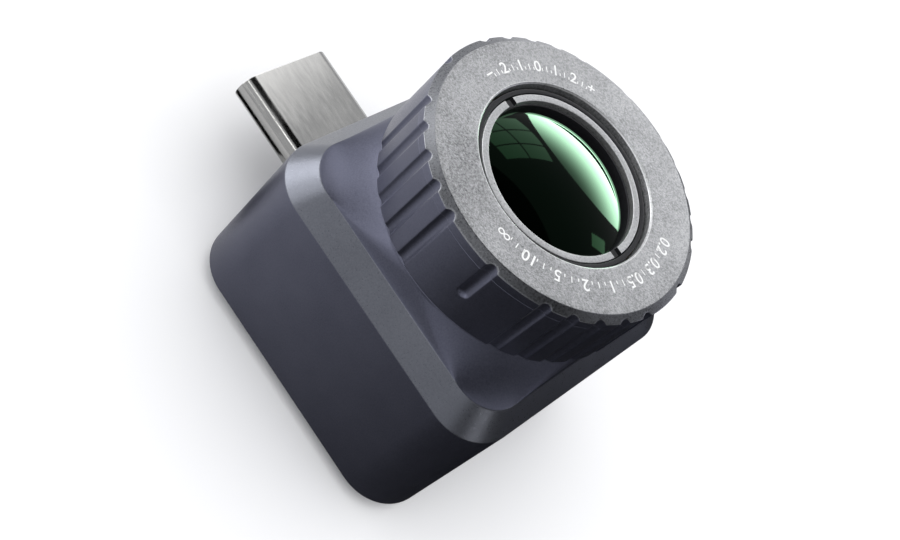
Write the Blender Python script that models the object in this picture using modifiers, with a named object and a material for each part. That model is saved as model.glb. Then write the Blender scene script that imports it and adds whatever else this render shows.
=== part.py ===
"""Plug-in thermal imaging camera with a turning focus ring.

The lens axis is Z, pointing out of the lens, and the flat rear face lies at z = 0.
The USB-C plug points along +Y.  Sizes are written in millimetres times MM.
"""
import math

import bmesh
import bpy
from mathutils import Matrix, Vector

MM = 0.001

# ---- driving dimensions -------------------------------------------------------------
BODY_HALF_X = 11.45 * MM
BODY_HALF_Y = 11.15 * MM
BODY_CORNER = 3.6 * MM
WALL_X = 1.4 * MM
WALL_Y = 1.6 * MM

REAR_CHAMFER = 1.2 * MM
FRONT_CHAMFER = 1.28 * MM
FRONT_CHAMFER_START = 12.65 * MM
FRONT_FACE = 14.5 * MM
TURRET_RIM = 16.1 * MM
TURRET_RADIUS = 9.8 * MM
FRONT_WALL_INSIDE = 12.9 * MM

NECK_RADIUS = 8.7 * MM
NECK_BORE = 7.9 * MM
NECK_END = 20.4 * MM

RING_RADIUS = 10.1 * MM
RING_BORE = 9.0 * MM
RING_BACK = 16.4 * MM
RING_FRONT = 21.5 * MM
FLUTE_RADIUS = 0.46 * MM
FLUTE_DEPTH = 0.26 * MM
FLUTE_POSITIONS = 32
FLUTE_PHASE = math.radians(195.75)
PANELS = 4
THUMB_GROOVE_END = 19.1 * MM

BEZEL_BACK = 21.6 * MM
BEZEL_FACE = 22.5 * MM
BEZEL_FACE_RADIUS = 9.55 * MM
BEZEL_RIM_DROP = 0.35 * MM
BEZEL_HOLE = 6.45 * MM

BARREL_RADIUS = 7.6 * MM
BARREL_NOSE = 6.3 * MM
BARREL_BORE = 6.0 * MM
BARREL_BACK = 13.3 * MM
BARREL_SHOULDER = 20.0 * MM
BARREL_FRONT = 22.0 * MM

PLUG_HEIGHT = 5.8 * MM
PLUG_WIDTH = 8.25 * MM
PLUG_THICK = 2.4 * MM
PLUG_REACH = 7.5 * MM
PLUG_ROOT = 8.2 * MM
COLLAR_WIDTH = 10.6 * MM
COLLAR_THICK = 4.4 * MM
COLLAR_PROUD = 0.5 * MM

COVER_THICK = 1.2 * MM
COVER_GAP = 0.1 * MM
GROOVE_PITCH = 1.2 * MM
GROOVE_WIDTH = 0.3 * MM
GROOVE_DEPTH = 0.28 * MM
GROOVE_MARGIN = 0.95 * MM
BADGE_HALF_X = 6.2 * MM
BADGE_HALF_Y = 3.1 * MM
BADGE_CORNER = 0.7 * MM
BADGE_DEPTH = 0.45 * MM
BADGE_EDGE = 0.18 * MM

BOARD_BACK = 5.4 * MM
BOARD_THICK = 0.8 * MM
POST_X = 7.4 * MM
POST_Y = 6.9 * MM
POST_TOP = 8.85 * MM
SENSOR_BACK = 9.0 * MM
SENSOR_THICK = 0.7 * MM

SHUTTER_PIVOT = Vector((6.6 * MM, -6.4 * MM, 0.0))
SHUTTER_BACK = 11.75 * MM
SHUTTER_PARKED = math.radians(38.0)

GAP = 0.1 * MM
MERGE = 0.00001
RING_STEPS = 64
ROUND_STEPS = 48
HIDDEN_STEPS = 32
SMALL_STEPS = 12

CAVITY_X = BODY_HALF_X - WALL_X
CAVITY_Y = BODY_HALF_Y - WALL_Y
REAR_CORNER = BODY_CORNER - 0.6 * REAR_CHAMFER
COVER_X = BODY_HALF_X - REAR_CHAMFER - 0.25 * MM
COVER_Y = BODY_HALF_Y - REAR_CHAMFER - 0.25 * MM
COVER_CORNER = REAR_CORNER - 0.25 * MM
PLUG_TIP = BODY_HALF_Y + PLUG_REACH

COLOURS = {
    "slate": ((0.060, 0.062, 0.088), 0.75, 0.42),
    "silver": ((0.56, 0.57, 0.58), 1.0, 0.38),
    "nickel": ((0.66, 0.65, 0.62), 1.0, 0.14),
    "badge": ((0.008, 0.009, 0.009), 0.0, 0.12),
    "collar": ((0.07, 0.072, 0.07), 0.0, 0.5),
    "black": ((0.012, 0.012, 0.013), 0.1, 0.55),
    "rubber": ((0.02, 0.02, 0.02), 0.0, 0.8),
    "board": ((0.02, 0.10, 0.04), 0.0, 0.45),
    "chip": ((0.03, 0.03, 0.032), 0.0, 0.5),
    "steel": ((0.5, 0.5, 0.49), 1.0, 0.3),
    "brass": ((0.62, 0.45, 0.17), 1.0, 0.3),
    "copper": ((0.72, 0.38, 0.22), 1.0, 0.3),
    "gold": ((0.85, 0.62, 0.25), 1.0, 0.25),
    "ceramic": ((0.55, 0.53, 0.48), 0.0, 0.5),
    "lens": ((0.01, 0.03, 0.015), 0.2, 0.05),
    "window": ((0.08, 0.08, 0.09), 0.6, 0.1),
    "polyimide": ((0.55, 0.27, 0.05), 0.0, 0.35),
    "pad": ((0.45, 0.55, 0.62), 0.0, 0.8),
}


# ---- scene helpers ------------------------------------------------------------------
def clear_scene():
    for item in list(bpy.data.objects):
        bpy.data.objects.remove(item, do_unlink=True)


def new_collection(name):
    group = bpy.data.collections.new(name)
    bpy.context.scene.collection.children.link(group)
    return group


def material(key):
    name = key + "_finish"
    if name in bpy.data.materials:
        return bpy.data.materials[name]
    colour, metallic, roughness = COLOURS[key]
    made = bpy.data.materials.new(name)
    made.use_nodes = True
    shader = made.node_tree.nodes["Principled BSDF"]
    shader.inputs["Base Color"].default_value = (*colour, 1.0)
    shader.inputs["Metallic"].default_value = metallic
    shader.inputs["Roughness"].default_value = roughness
    return made


def place(name, mesh, finish, parent=None):
    """Put a mesh in the scene as a part, or as a cutter when finish is None."""
    item = bpy.data.objects.new(name, mesh)
    if finish is None:
        CUTTERS.objects.link(item)
        item.hide_render = True
        item.display_type = "WIRE"
        return item
    PARTS.objects.link(item)
    item.data.materials.append(material(finish))
    item.parent = parent
    return item


def pivot(name, location):
    empty = bpy.data.objects.new(name, None)
    empty.location = location
    empty.empty_display_size = 3 * MM
    PARTS.objects.link(empty)
    return empty


def mesh_from(name, shape):
    mesh = bpy.data.meshes.new(name)
    shape.to_mesh(mesh)
    shape.free()
    mesh.shade_smooth()
    mesh.set_sharp_from_angle(angle=math.radians(30))
    return mesh


def boolean(target, tool, operation="DIFFERENCE"):
    modifier = target.modifiers.new(operation.lower() + "_" + tool.name, "BOOLEAN")
    modifier.operation = operation
    modifier.object = tool
    modifier.solver = "EXACT"


# ---- shapes -------------------------------------------------------------------------
def add_block(shape, half_x, half_y, low, high, corner=0.0, steps=5, at=(0.0, 0.0)):
    """Add a box to a bmesh, its four upright edges rounded by the corner radius."""
    made = bmesh.ops.create_cube(shape, size=1.0)["verts"]
    bmesh.ops.scale(shape, verts=made, vec=(2 * half_x, 2 * half_y, high - low))
    bmesh.ops.translate(shape, verts=made, vec=(at[0], at[1], (low + high) / 2))
    if corner == 0.0:
        return made
    upright = set()
    for vert in made:
        for edge in vert.link_edges:
            ends = edge.verts[1].co - edge.verts[0].co
            if abs(ends.z) > 0.5 * (high - low):
                upright.add(edge)
    cut = bmesh.ops.bevel(shape, geom=list(upright), offset=corner, segments=steps,
                          profile=0.5, affect="EDGES")
    kept = [vert for vert in made if vert.is_valid]
    return list(set(kept + cut["verts"]))


def block(name, half_x, half_y, low, high, finish, corner=0.0, steps=5, at=(0.0, 0.0), parent=None):
    shape = bmesh.new()
    add_block(shape, half_x, half_y, low, high, corner, steps, at)
    return place(name, mesh_from(name, shape), finish, parent)


def turned(name, profile, finish, parent=None, closed=True, steps=ROUND_STEPS):
    """Turn an (radius, height) outline about Z.  It runs down its outer side first."""
    mesh = bpy.data.meshes.new(name)
    points = [(radius, 0.0, height) for radius, height in profile]
    edges = [(index, index + 1) for index in range(len(points) - 1)]
    if closed:
        edges.append((len(points) - 1, 0))
    mesh.from_pydata(points, edges, [])
    item = place(name, mesh, finish, parent)
    screw = item.modifiers.new("turn", "SCREW")
    screw.axis = "Z"
    screw.angle = math.tau
    screw.steps = steps
    screw.render_steps = steps
    screw.use_merge_vertices = True
    screw.merge_threshold = MERGE
    screw.use_smooth_shade = True
    return item


def arc(centre_height, radius, start_radius, end_radius, count):
    """Points on a sphere's outline about Z, from one distance off the axis to another."""
    points = []
    for index in range(count + 1):
        distance = start_radius + (end_radius - start_radius) * index / count
        points.append((distance, centre_height + math.sqrt(radius ** 2 - distance ** 2)))
    return points


def rod(shape, radius, low, high, at, steps=SMALL_STEPS, top_radius=None):
    """Add an upright cylinder, or a cone with its own top radius, to a bmesh."""
    spot = Matrix.Translation((at[0], at[1], (low + high) / 2))
    top = radius if top_radius is None else top_radius
    made = bmesh.ops.create_cone(shape, cap_ends=True, segments=steps, radius1=radius,
                                 radius2=top, depth=high - low, matrix=spot)
    return made["verts"]


def rod_object(name, radius, low, high, at, finish, steps=SMALL_STEPS, parent=None):
    shape = bmesh.new()
    rod(shape, radius, low, high, at, steps)
    return place(name, mesh_from(name, shape), finish, parent)


def rounded_loop(half_x, half_y, corner, steps):
    """Points round a rounded rectangle, which is a circle when all three are equal."""
    corner = min(corner, half_x - 0.01 * MM, half_y - 0.01 * MM)
    points = []
    for quarter in range(4):
        side_x = 1 if quarter in (0, 3) else -1
        side_y = 1 if quarter in (0, 1) else -1
        for index in range(steps + 1):
            angle = math.radians(90) * (quarter + index / steps)
            x = side_x * (half_x - corner) + corner * math.cos(angle)
            y = side_y * (half_y - corner) + corner * math.sin(angle)
            points.append((x, y))
    return points


def loft_shape(sections, steps):
    """Skin rounded rectangles (half x, half y, corner, height), listed from the bottom up."""
    shape = bmesh.new()
    rings = []
    for half_x, half_y, corner, height in sections:
        outline = rounded_loop(half_x, half_y, corner, steps)
        rings.append([shape.verts.new((x, y, height)) for x, y in outline])
    count = len(rings[0])
    for lower, upper in zip(rings, rings[1:]):
        for index in range(count):
            after = (index + 1) % count
            shape.faces.new((lower[index], lower[after], upper[after], upper[index]))
    shape.faces.new(list(reversed(rings[0])))
    shape.faces.new(rings[-1])
    return shape


def oval(name, width, thick, start, end, finish, edge=0.0, steps=6):
    """A slot-shaped bar along Y at the plug's height, its front edge rounded."""
    half_x = width / 2
    half_y = thick / 2
    sections = [(half_x, half_y, half_y, start)]
    if edge == 0.0:
        sections.append((half_x, half_y, half_y, end))
    else:
        for index in range(4):
            angle = math.radians(30) * index
            inset = edge * (1 - math.cos(angle))
            height = end - edge + edge * math.sin(angle)
            sections.append((half_x - inset, half_y - inset, half_y - inset, height))
    shape = loft_shape(sections, steps)
    turn = Matrix.Rotation(math.radians(-90), 4, "X")
    bmesh.ops.transform(shape, matrix=Matrix.Translation((0, 0, PLUG_HEIGHT)) @ turn, verts=shape.verts)
    return place(name, mesh_from(name, shape), finish)


def around(radius, angle):
    return (radius * math.cos(angle), radius * math.sin(angle))


# ---- housing ------------------------------------------------------------------------
def housing_sections():
    sections = [
        (BODY_HALF_X - REAR_CHAMFER, BODY_HALF_Y - REAR_CHAMFER, REAR_CORNER, 0.0),
        (BODY_HALF_X, BODY_HALF_Y, BODY_CORNER, REAR_CHAMFER),
        (BODY_HALF_X, BODY_HALF_Y, BODY_CORNER, FRONT_CHAMFER_START),
    ]
    face_x = BODY_HALF_X - FRONT_CHAMFER
    face_y = BODY_HALF_Y - FRONT_CHAMFER
    face_corner = BODY_CORNER - 0.6 * FRONT_CHAMFER
    rise = TURRET_RIM - FRONT_FACE
    blend_steps = 6
    for index in range(blend_steps + 1):
        share = index / blend_steps
        half_x = face_x + (TURRET_RADIUS - face_x) * share
        half_y = face_y + (TURRET_RADIUS - face_y) * share
        corner = face_corner + (TURRET_RADIUS - face_corner) * share
        sections.append((half_x, half_y, corner, FRONT_FACE + rise * share ** 1.7))
    edge = 0.12 * MM
    rim = TURRET_RADIUS - edge
    sections.append((rim, rim, rim, TURRET_RIM + edge))
    return sections


def neck_profile():
    inner = NECK_BORE + GAP
    seal_floor = 8.2 * MM
    clip_floor = 8.3 * MM
    return [
        (NECK_RADIUS - 0.2 * MM, NECK_END),
        (NECK_RADIUS, NECK_END - 0.2 * MM),
        (NECK_RADIUS, 18.55 * MM),
        (clip_floor, 18.55 * MM),
        (clip_floor, 18.05 * MM),
        (NECK_RADIUS, 18.05 * MM),
        (NECK_RADIUS, 17.75 * MM),
        (seal_floor, 17.75 * MM),
        (seal_floor, 16.95 * MM),
        (NECK_RADIUS, 16.95 * MM),
        (NECK_RADIUS, FRONT_FACE),
        (inner, FRONT_FACE),
        (inner, NECK_END),
    ]


def make_housing():
    shell = loft_shape(housing_sections(), 10)
    housing = place("main_housing", mesh_from("main_housing", shell), "slate")
    neck = turned("neck_solid", neck_profile(), None)
    boolean(housing, neck, "UNION")
    cavity = block("cavity_cut", CAVITY_X, CAVITY_Y, -MM, FRONT_WALL_INSIDE, None, 2.2 * MM)
    boolean(housing, cavity)
    cover_seat = block("cover_seat_cut", COVER_X + COVER_GAP, COVER_Y + COVER_GAP, -MM,
                       COVER_THICK + 0.3 * MM, None, COVER_CORNER + COVER_GAP, steps=6)
    boolean(housing, cover_seat)
    bore = bmesh.new()
    rod(bore, NECK_BORE, 12 * MM, NECK_END + MM, (0, 0), ROUND_STEPS)
    boolean(housing, place("bore_cut", mesh_from("bore_cut", bore), None))
    boolean(housing, oval("collar_seat_cut", COLLAR_WIDTH + 2 * GAP, COLLAR_THICK + 2 * GAP,
                          BODY_HALF_Y - 1.0 * MM, BODY_HALF_Y + MM, None))
    boolean(housing, oval("plug_way_cut", PLUG_WIDTH + 4 * GAP, PLUG_THICK + 4 * GAP,
                          CAVITY_Y - MM, BODY_HALF_Y + MM, None))
    pockets = bmesh.new()
    for side in (-1, 1):
        add_block(pockets, 0.6 * MM, 0.6 * MM, 14.4 * MM, 15.8 * MM, at=(side * 8.2 * MM, 0))
    boolean(housing, place("key_pocket_cut", mesh_from("key_pocket_cut", pockets), None))
    boolean(housing, radial_rod("pin_hole_cut", 0.45 * MM, 7.4 * MM, 9.2 * MM, None))


def radial_rod(name, radius, start, end, finish):
    """The stop pin's cylinder, lying along -Y from one distance off the axis to another."""
    shape = bmesh.new()
    rod(shape, radius, start, end, (0, 0), 16)
    turn = Matrix.Rotation(math.radians(90), 4, "X")
    bmesh.ops.transform(shape, matrix=Matrix.Translation((0, 0, 19.3 * MM)) @ turn, verts=shape.verts)
    return place(name, mesh_from(name, shape), finish)


def make_neck_fittings():
    radial_rod("stop_pin", 0.35 * MM, 7.95 * MM, 9.25 * MM, "steel")
    for side, label in ((-1, "left"), (1, "right")):
        block("guide_key_" + label, 0.7 * MM, 0.45 * MM, 14.5 * MM, 15.7 * MM, "brass",
              at=(side * 7.95 * MM, 0))
    clip = turned("ring_clip", [(9.25 * MM, 18.45 * MM), (9.25 * MM, 18.15 * MM),
                                (8.4 * MM, 18.15 * MM), (8.4 * MM, 18.45 * MM)], "steel", steps=HIDDEN_STEPS)
    boolean(clip, block("clip_gap_cut", 2 * MM, 0.8 * MM, 17 * MM, 19 * MM, None, at=(8.8 * MM, 0)))
    seal = []
    for index in range(6):
        angle = math.pi / 2 - math.tau * index / 6
        seal.append((8.6 * MM + 0.3 * MM * math.cos(angle), 17.35 * MM + 0.3 * MM * math.sin(angle)))
    turned("ring_seal", seal, "rubber", steps=HIDDEN_STEPS)


# ---- rear cover ---------------------------------------------------------------------
def inside_rounded(x, y, half_x, half_y, corner):
    over_x = max(abs(x) - (half_x - corner), 0.0)
    over_y = max(abs(y) - (half_y - corner), 0.0)
    return math.hypot(over_x, over_y) <= corner


def groove_runs(offset):
    """Start and end of each groove on one diagonal, clear of the rim and of the badge."""
    diagonal = math.sqrt(0.5)
    step = 0.05 * MM
    reach = int(16 * MM / step)
    runs = []
    start = None
    for index in range(-reach, reach + 1):
        along = index * step
        x = (offset - along) * diagonal
        y = (offset + along) * diagonal
        in_face = inside_rounded(x, y, COVER_X - GROOVE_MARGIN, COVER_Y - GROOVE_MARGIN,
                                 COVER_CORNER - 0.6 * GROOVE_MARGIN)
        in_badge = inside_rounded(x, y, BADGE_HALF_X + GROOVE_MARGIN, BADGE_HALF_Y + GROOVE_MARGIN,
                                  BADGE_CORNER + 0.6 * GROOVE_MARGIN)
        open_here = in_face and not in_badge
        if open_here and start is None:
            start = along
        if start is not None and not open_here:
            if along - start > 1.0 * MM:
                runs.append((start, along))
            start = None
    return runs


def groove_cutters():
    shape = bmesh.new()
    count = int(12 * MM / GROOVE_PITCH)
    for line in range(-count, count + 1):
        offset = (line + 0.5) * GROOVE_PITCH
        for start, end in groove_runs(offset):
            made = add_block(shape, (end - start) / 2, GROOVE_WIDTH / 2, -0.2 * MM, GROOVE_DEPTH,
                             GROOVE_WIDTH / 2 * 0.99, 2)
            middle = (start + end) / 2
            spot = Matrix.Rotation(math.radians(45), 4, "Z") @ Matrix.Translation((offset, middle, 0))
            turn = Matrix.Rotation(math.radians(90), 4, "Z")
            bmesh.ops.transform(shape, matrix=spot @ turn, verts=made)
    return place("groove_cut", mesh_from("groove_cut", shape), None)


def cover_screw_spots():
    return [(-4.2 * MM, 0.0), (4.2 * MM, 0.0)]


def make_rear_cover():
    cover = block("rear_cover", COVER_X, COVER_Y, 0.0, COVER_THICK, "slate", COVER_CORNER, steps=6)
    boolean(cover, groove_cutters())
    boolean(cover, block("badge_seat_cut", BADGE_HALF_X + GAP, BADGE_HALF_Y + GAP, -MM,
                         BADGE_DEPTH + GAP, None, BADGE_CORNER + GAP))
    holes = bmesh.new()
    heads = bmesh.new()
    for spot in cover_screw_spots():
        rod(holes, 0.6 * MM, 0.2 * MM, 2 * MM, spot)
        rod(heads, 1.1 * MM, 0.2 * MM, 0.85 * MM, spot)
    boolean(cover, place("cover_head_cut", mesh_from("cover_head_cut", heads), None))
    boolean(cover, place("cover_hole_cut", mesh_from("cover_hole_cut", holes), None))

    edge = block("badge_frame", BADGE_HALF_X, BADGE_HALF_Y, 0.0, BADGE_DEPTH, "silver", BADGE_CORNER)
    inner_x = BADGE_HALF_X - BADGE_EDGE
    inner_y = BADGE_HALF_Y - BADGE_EDGE
    boolean(edge, block("badge_frame_cut", inner_x, inner_y, -MM, MM, None, BADGE_CORNER - BADGE_EDGE))
    slip = 0.04 * MM
    block("badge_plate", inner_x - slip, inner_y - slip, 0.0, BADGE_DEPTH, "badge",
          BADGE_CORNER - BADGE_EDGE - slip)

    gasket = block("cover_gasket", 9.8 * MM, 9.3 * MM, 1.28 * MM, 1.5 * MM, "rubber", 2.0 * MM)
    boolean(gasket, block("gasket_cut", 9.0 * MM, 8.5 * MM, 0, 3 * MM, None, 1.3 * MM))
    for number, spot in enumerate(cover_screw_spots(), start=1):
        screw("cover_screw_%d" % number, spot, 0.58 * MM, 0.83 * MM, 2.5 * MM, 0.95 * MM, 0.45 * MM)


def screw(name, spot, head_low, head_high, tip, head_radius, shank_radius):
    """A socket screw whose head is at the low end and whose shank points to +Z."""
    turned_down = [
        (shank_radius * 0.5, tip),
        (shank_radius, tip - shank_radius * 0.5),
        (shank_radius, head_high),
        (head_radius, head_high),
        (head_radius, head_low),
        (head_radius * 0.45, head_low),
        (head_radius * 0.45, head_low + 0.6 * (head_high - head_low)),
    ]
    profile = [(0.0, tip)] + turned_down + [(0.0, turned_down[-1][1])]
    item = turned(name, profile, "steel", closed=False, steps=12)
    item.location = (spot[0], spot[1], 0.0)
    return item


def flip_screw(name, spot, head_low, head_high, tip, head_radius, shank_radius):
    """The same screw turned over, its head at the high end and its shank down to the tip."""
    socket = head_high - 0.6 * (head_high - head_low)
    profile = [
        (0.0, socket),
        (head_radius * 0.45, socket),
        (head_radius * 0.45, head_high),
        (head_radius, head_high),
        (head_radius, head_low),
        (shank_radius, head_low),
        (shank_radius, tip + shank_radius * 0.5),
        (shank_radius * 0.5, tip),
        (0.0, tip),
    ]
    item = turned(name, profile, "steel", closed=False, steps=12)
    item.location = (spot[0], spot[1], 0.0)
    return item


# ---- chassis and boards -------------------------------------------------------------
def post_spots():
    return [(side_x * POST_X, side_y * POST_Y) for side_y in (-1, 1) for side_x in (-1, 1)]


def make_inner_frame():
    frame = block("inner_frame", CAVITY_X - 0.3 * MM, CAVITY_Y - 0.3 * MM, 1.6 * MM, 12.0 * MM,
                  "black", 1.9 * MM)
    boolean(frame, block("frame_cut", CAVITY_X - 1.1 * MM, CAVITY_Y - 1.1 * MM, 0, 14 * MM, None,
                         1.1 * MM))
    posts = bmesh.new()
    for x, y in post_spots():
        spot = (x + math.copysign(0.4 * MM, x), y + math.copysign(0.4 * MM, y))
        add_block(posts, 1.45 * MM, 1.45 * MM, BOARD_BACK + BOARD_THICK + 0.15 * MM, POST_TOP, at=spot)
    boolean(frame, place("post_solid", mesh_from("post_solid", posts), None), "UNION")
    boolean(frame, block("bridge_solid", CAVITY_X - 0.5 * MM, 1.2 * MM, 1.62 * MM, 2.6 * MM, None),
            "UNION")
    holes = bmesh.new()
    for spot in post_spots():
        rod(holes, 0.65 * MM, 6 * MM, 9 * MM, spot)
    for spot in cover_screw_spots():
        rod(holes, 0.55 * MM, MM, 3 * MM, spot)
    boolean(frame, place("frame_hole_cut", mesh_from("frame_hole_cut", holes), None))
    boolean(frame, block("frame_plug_cut", 4.7 * MM, 2 * MM, 4.2 * MM, 7.4 * MM, None,
                         at=(0, CAVITY_Y)))


def make_main_board():
    top = BOARD_BACK + BOARD_THICK
    board = block("main_board", 8.8 * MM, 8.3 * MM, BOARD_BACK, top, "board", 0.9 * MM)
    boolean(board, block("board_notch_cut", 4.5 * MM, 2 * MM, 5 * MM, 7 * MM, None, at=(0, 8.7 * MM)))
    holes = bmesh.new()
    for spot in post_spots():
        rod(holes, 0.65 * MM, 5 * MM, 7 * MM, spot)
    boolean(board, place("board_hole_cut", mesh_from("board_hole_cut", holes), None))
    for number, spot in enumerate(post_spots(), start=1):
        screw("board_screw_%d" % number, spot, 4.65 * MM, 5.25 * MM, 7.4 * MM, 1.05 * MM, 0.5 * MM)

    can = block("shield_can", 5.6 * MM, 4.6 * MM, 2.9 * MM, 5.25 * MM, "steel", 0.5 * MM,
                at=(0, -1.4 * MM))
    boolean(can, block("can_cut", 5.35 * MM, 4.35 * MM, 3.15 * MM, 6 * MM, None, 0.3 * MM,
                       at=(0, -1.4 * MM)))
    low = BOARD_BACK - 1.15 * MM
    high = BOARD_BACK - 0.1 * MM
    block("processor_chip", 2.9 * MM, 2.9 * MM, low, high, "chip", 0.2 * MM, 2, (-2.0 * MM, -1.4 * MM))
    block("memory_chip", 1.6 * MM, 2.4 * MM, low, high, "chip", 0.2 * MM, 2, (3.1 * MM, -1.4 * MM))
    block("power_chip", 1.3 * MM, 1.3 * MM, top + GAP, top + 0.8 * MM, "chip", 0.15 * MM, 2,
          (-3.6 * MM, 2.2 * MM))
    block("power_inductor", 1.2 * MM, 1.2 * MM, top + GAP, top + 1.2 * MM, "chip", 0.4 * MM, 3,
          (-0.4 * MM, 2.2 * MM))
    block("board_connector", 0.9 * MM, 2.6 * MM, top + GAP, top + 0.9 * MM, "collar", 0.15 * MM, 2,
          (5.2 * MM, -0.6 * MM))


def make_flex_cable():
    """A flat ribbon from the connector up to the sensor board, with one round bend."""
    thick = 0.12 * MM
    half_width = 2.0 * MM
    low = 7.3 * MM
    high = 8.8 * MM
    bend = (high - low) / 2
    centre = (6.6 * MM, low + bend)
    line = [(4.4 * MM, low)]
    for index in range(9):
        angle = -math.pi / 2 + math.pi * index / 8
        line.append((centre[0] + bend * math.cos(angle), centre[1] + bend * math.sin(angle)))
    line.append((5.9 * MM, high))
    shape = bmesh.new()
    lower = [shape.verts.new((x, -0.6 * MM - half_width, z)) for x, z in line]
    upper = [shape.verts.new((x, -0.6 * MM + half_width, z)) for x, z in line]
    for index in range(len(line) - 1):
        shape.faces.new((lower[index], lower[index + 1], upper[index + 1], upper[index]))
    ribbon = place("flex_cable", mesh_from("flex_cable", shape), "polyimide")
    shell = ribbon.modifiers.new("thickness", "SOLIDIFY")
    shell.thickness = thick
    shell.offset = 0.0


def make_sensor_stack():
    block("heat_spreader", 5.6 * MM, 4.9 * MM, 7.75 * MM, 8.15 * MM, "copper", 0.4 * MM, 3,
          (-0.9 * MM, 0))
    block("thermal_pad", 4.0 * MM, 4.0 * MM, 8.25 * MM, 8.88 * MM, "pad", 0.3 * MM, 2, (-0.9 * MM, 0))
    top = SENSOR_BACK + SENSOR_THICK
    board = block("sensor_board", 8.0 * MM, 7.7 * MM, SENSOR_BACK, top, "board", 0.8 * MM)
    boolean(board, block("motor_notch_cut", 2.5 * MM, 2.5 * MM, 8.95 * MM, 10 * MM, None, 0.8 * MM,
                         at=(6.95 * MM, -6.75 * MM)))
    spots = [spot for spot in post_spots() if not (spot[0] > 0 and spot[1] < 0)]
    holes = bmesh.new()
    for spot in spots:
        rod(holes, 0.65 * MM, 8 * MM, 10 * MM, spot)
    boolean(board, place("sensor_hole_cut", mesh_from("sensor_hole_cut", holes), None))
    for number, spot in enumerate(spots, start=1):
        flip_screw("sensor_screw_%d" % number, spot, top + 0.12 * MM, top + 0.7 * MM, 7.6 * MM,
                   1.05 * MM, 0.5 * MM)
    package = block("detector_package", 4.6 * MM, 4.6 * MM, top + GAP, 11.0 * MM, "ceramic", 0.3 * MM, 2)
    boolean(package, block("package_well_cut", 3.3 * MM, 3.3 * MM, 10.4 * MM, 12 * MM, None))
    block("detector_window", 3.7 * MM, 3.7 * MM, 11.08 * MM, 11.5 * MM, "window", 0.3 * MM, 2)


# ---- calibration shutter ------------------------------------------------------------
def make_shutter():
    plate = block("shutter_frame", CAVITY_X - 0.4 * MM, CAVITY_Y - 0.4 * MM, 12.15 * MM, 12.75 * MM,
                  "black", 1.8 * MM)
    opening = bmesh.new()
    rod(opening, 2.9 * MM, 12 * MM, 13 * MM, (0, 0), HIDDEN_STEPS)
    boolean(plate, place("shutter_opening_cut", mesh_from("shutter_opening_cut", opening), None))

    motor = rod_object("shutter_motor", 1.75 * MM, 9.0 * MM, 11.3 * MM, SHUTTER_PIVOT, "steel", 32)
    axle = rod_object("motor_axle_solid", 0.35 * MM, 11.0 * MM, 12.05 * MM, SHUTTER_PIVOT, None, 16)
    boolean(motor, axle, "UNION")

    swing = pivot("shutter_pivot", SHUTTER_PIVOT)
    to_axis = Vector((0, 0, 0)) - SHUTTER_PIVOT
    distance = to_axis.length
    top = SHUTTER_BACK + 0.2 * MM
    blade = rod_object("shutter_blade", 3.0 * MM, SHUTTER_BACK, top, (distance, 0), "black", 24)
    arm = block("blade_arm_solid", distance / 2, 0.8 * MM, SHUTTER_BACK, top, None,
                at=(distance / 2, 0))
    hub = rod_object("blade_hub_solid", 1.1 * MM, SHUTTER_BACK, top, (0, 0), None, 24)
    hole = rod_object("blade_hole_cut", 0.5 * MM, SHUTTER_BACK - MM, top + MM, (0, 0), None, 16)
    turn = math.atan2(to_axis.y, to_axis.x) - SHUTTER_PARKED
    for item in (blade, arm, hub, hole):
        item.parent = swing
        item.rotation_euler.z = turn
    boolean(blade, arm, "UNION")
    boolean(blade, hub, "UNION")
    boolean(blade, hole)


# ---- plug ---------------------------------------------------------------------------
def make_plug():
    shell = oval("plug_shell", PLUG_WIDTH, PLUG_THICK, PLUG_ROOT, PLUG_TIP, "nickel", edge=0.15 * MM)
    wall = 0.25 * MM
    boolean(shell, oval("shell_cut", PLUG_WIDTH - 2 * wall, PLUG_THICK - 2 * wall, PLUG_ROOT - MM,
                        PLUG_TIP + MM, None))
    slack = wall + 0.08 * MM
    core = oval("plug_insulator", PLUG_WIDTH - 2 * slack, PLUG_THICK - 2 * slack, 7.0 * MM,
                PLUG_TIP - 0.5 * MM, "black")
    mouth = 12.6 * MM
    boolean(core, slab("insulator_slot_cut", 3.5 * MM, 0.5 * MM, mouth, PLUG_TIP + MM, PLUG_HEIGHT, None))
    for side, label in ((-1, "lower"), (1, "upper")):
        make_contacts("plug_contacts_" + label, mouth + 0.1 * MM, PLUG_HEIGHT + side * 0.36 * MM)

    collar = oval("plug_collar", COLLAR_WIDTH, COLLAR_THICK, BODY_HALF_Y - 0.55 * MM,
                  BODY_HALF_Y + COLLAR_PROUD, "collar", edge=0.25 * MM)
    plug_clearance = 2 * GAP
    boolean(collar, oval("collar_cut", PLUG_WIDTH + plug_clearance, PLUG_THICK + plug_clearance,
                         9 * MM, 14 * MM, None))
    gasket = oval("plug_gasket", COLLAR_WIDTH - 0.4 * MM, COLLAR_THICK - 0.4 * MM,
                  BODY_HALF_Y - 0.92 * MM, BODY_HALF_Y - 0.63 * MM, "rubber")
    boolean(gasket, oval("gasket_hole_cut", PLUG_WIDTH + plug_clearance, PLUG_THICK + plug_clearance,
                         9 * MM, 14 * MM, None))


def slab(name, half_x, half_z, start, end, height, finish):
    return block(name, half_x, (end - start) / 2, height - half_z, height + half_z, finish,
                 at=(0, (start + end) / 2))


def make_contacts(name, start, height):
    pitch = 0.5 * MM
    tines = 12
    half_thick = 0.06 * MM
    comb = slab(name, 3.0 * MM, half_thick, start, start + 0.3 * MM, height, "gold")
    shape = bmesh.new()
    for index in range(tines):
        x = (index - (tines - 1) / 2) * pitch
        add_block(shape, 0.12 * MM, 2.3 * MM, height - half_thick, height + half_thick,
                  at=(x, start + 2.4 * MM))
    boolean(comb, place(name + "_tines", mesh_from(name + "_tines", shape), None), "UNION")


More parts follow.
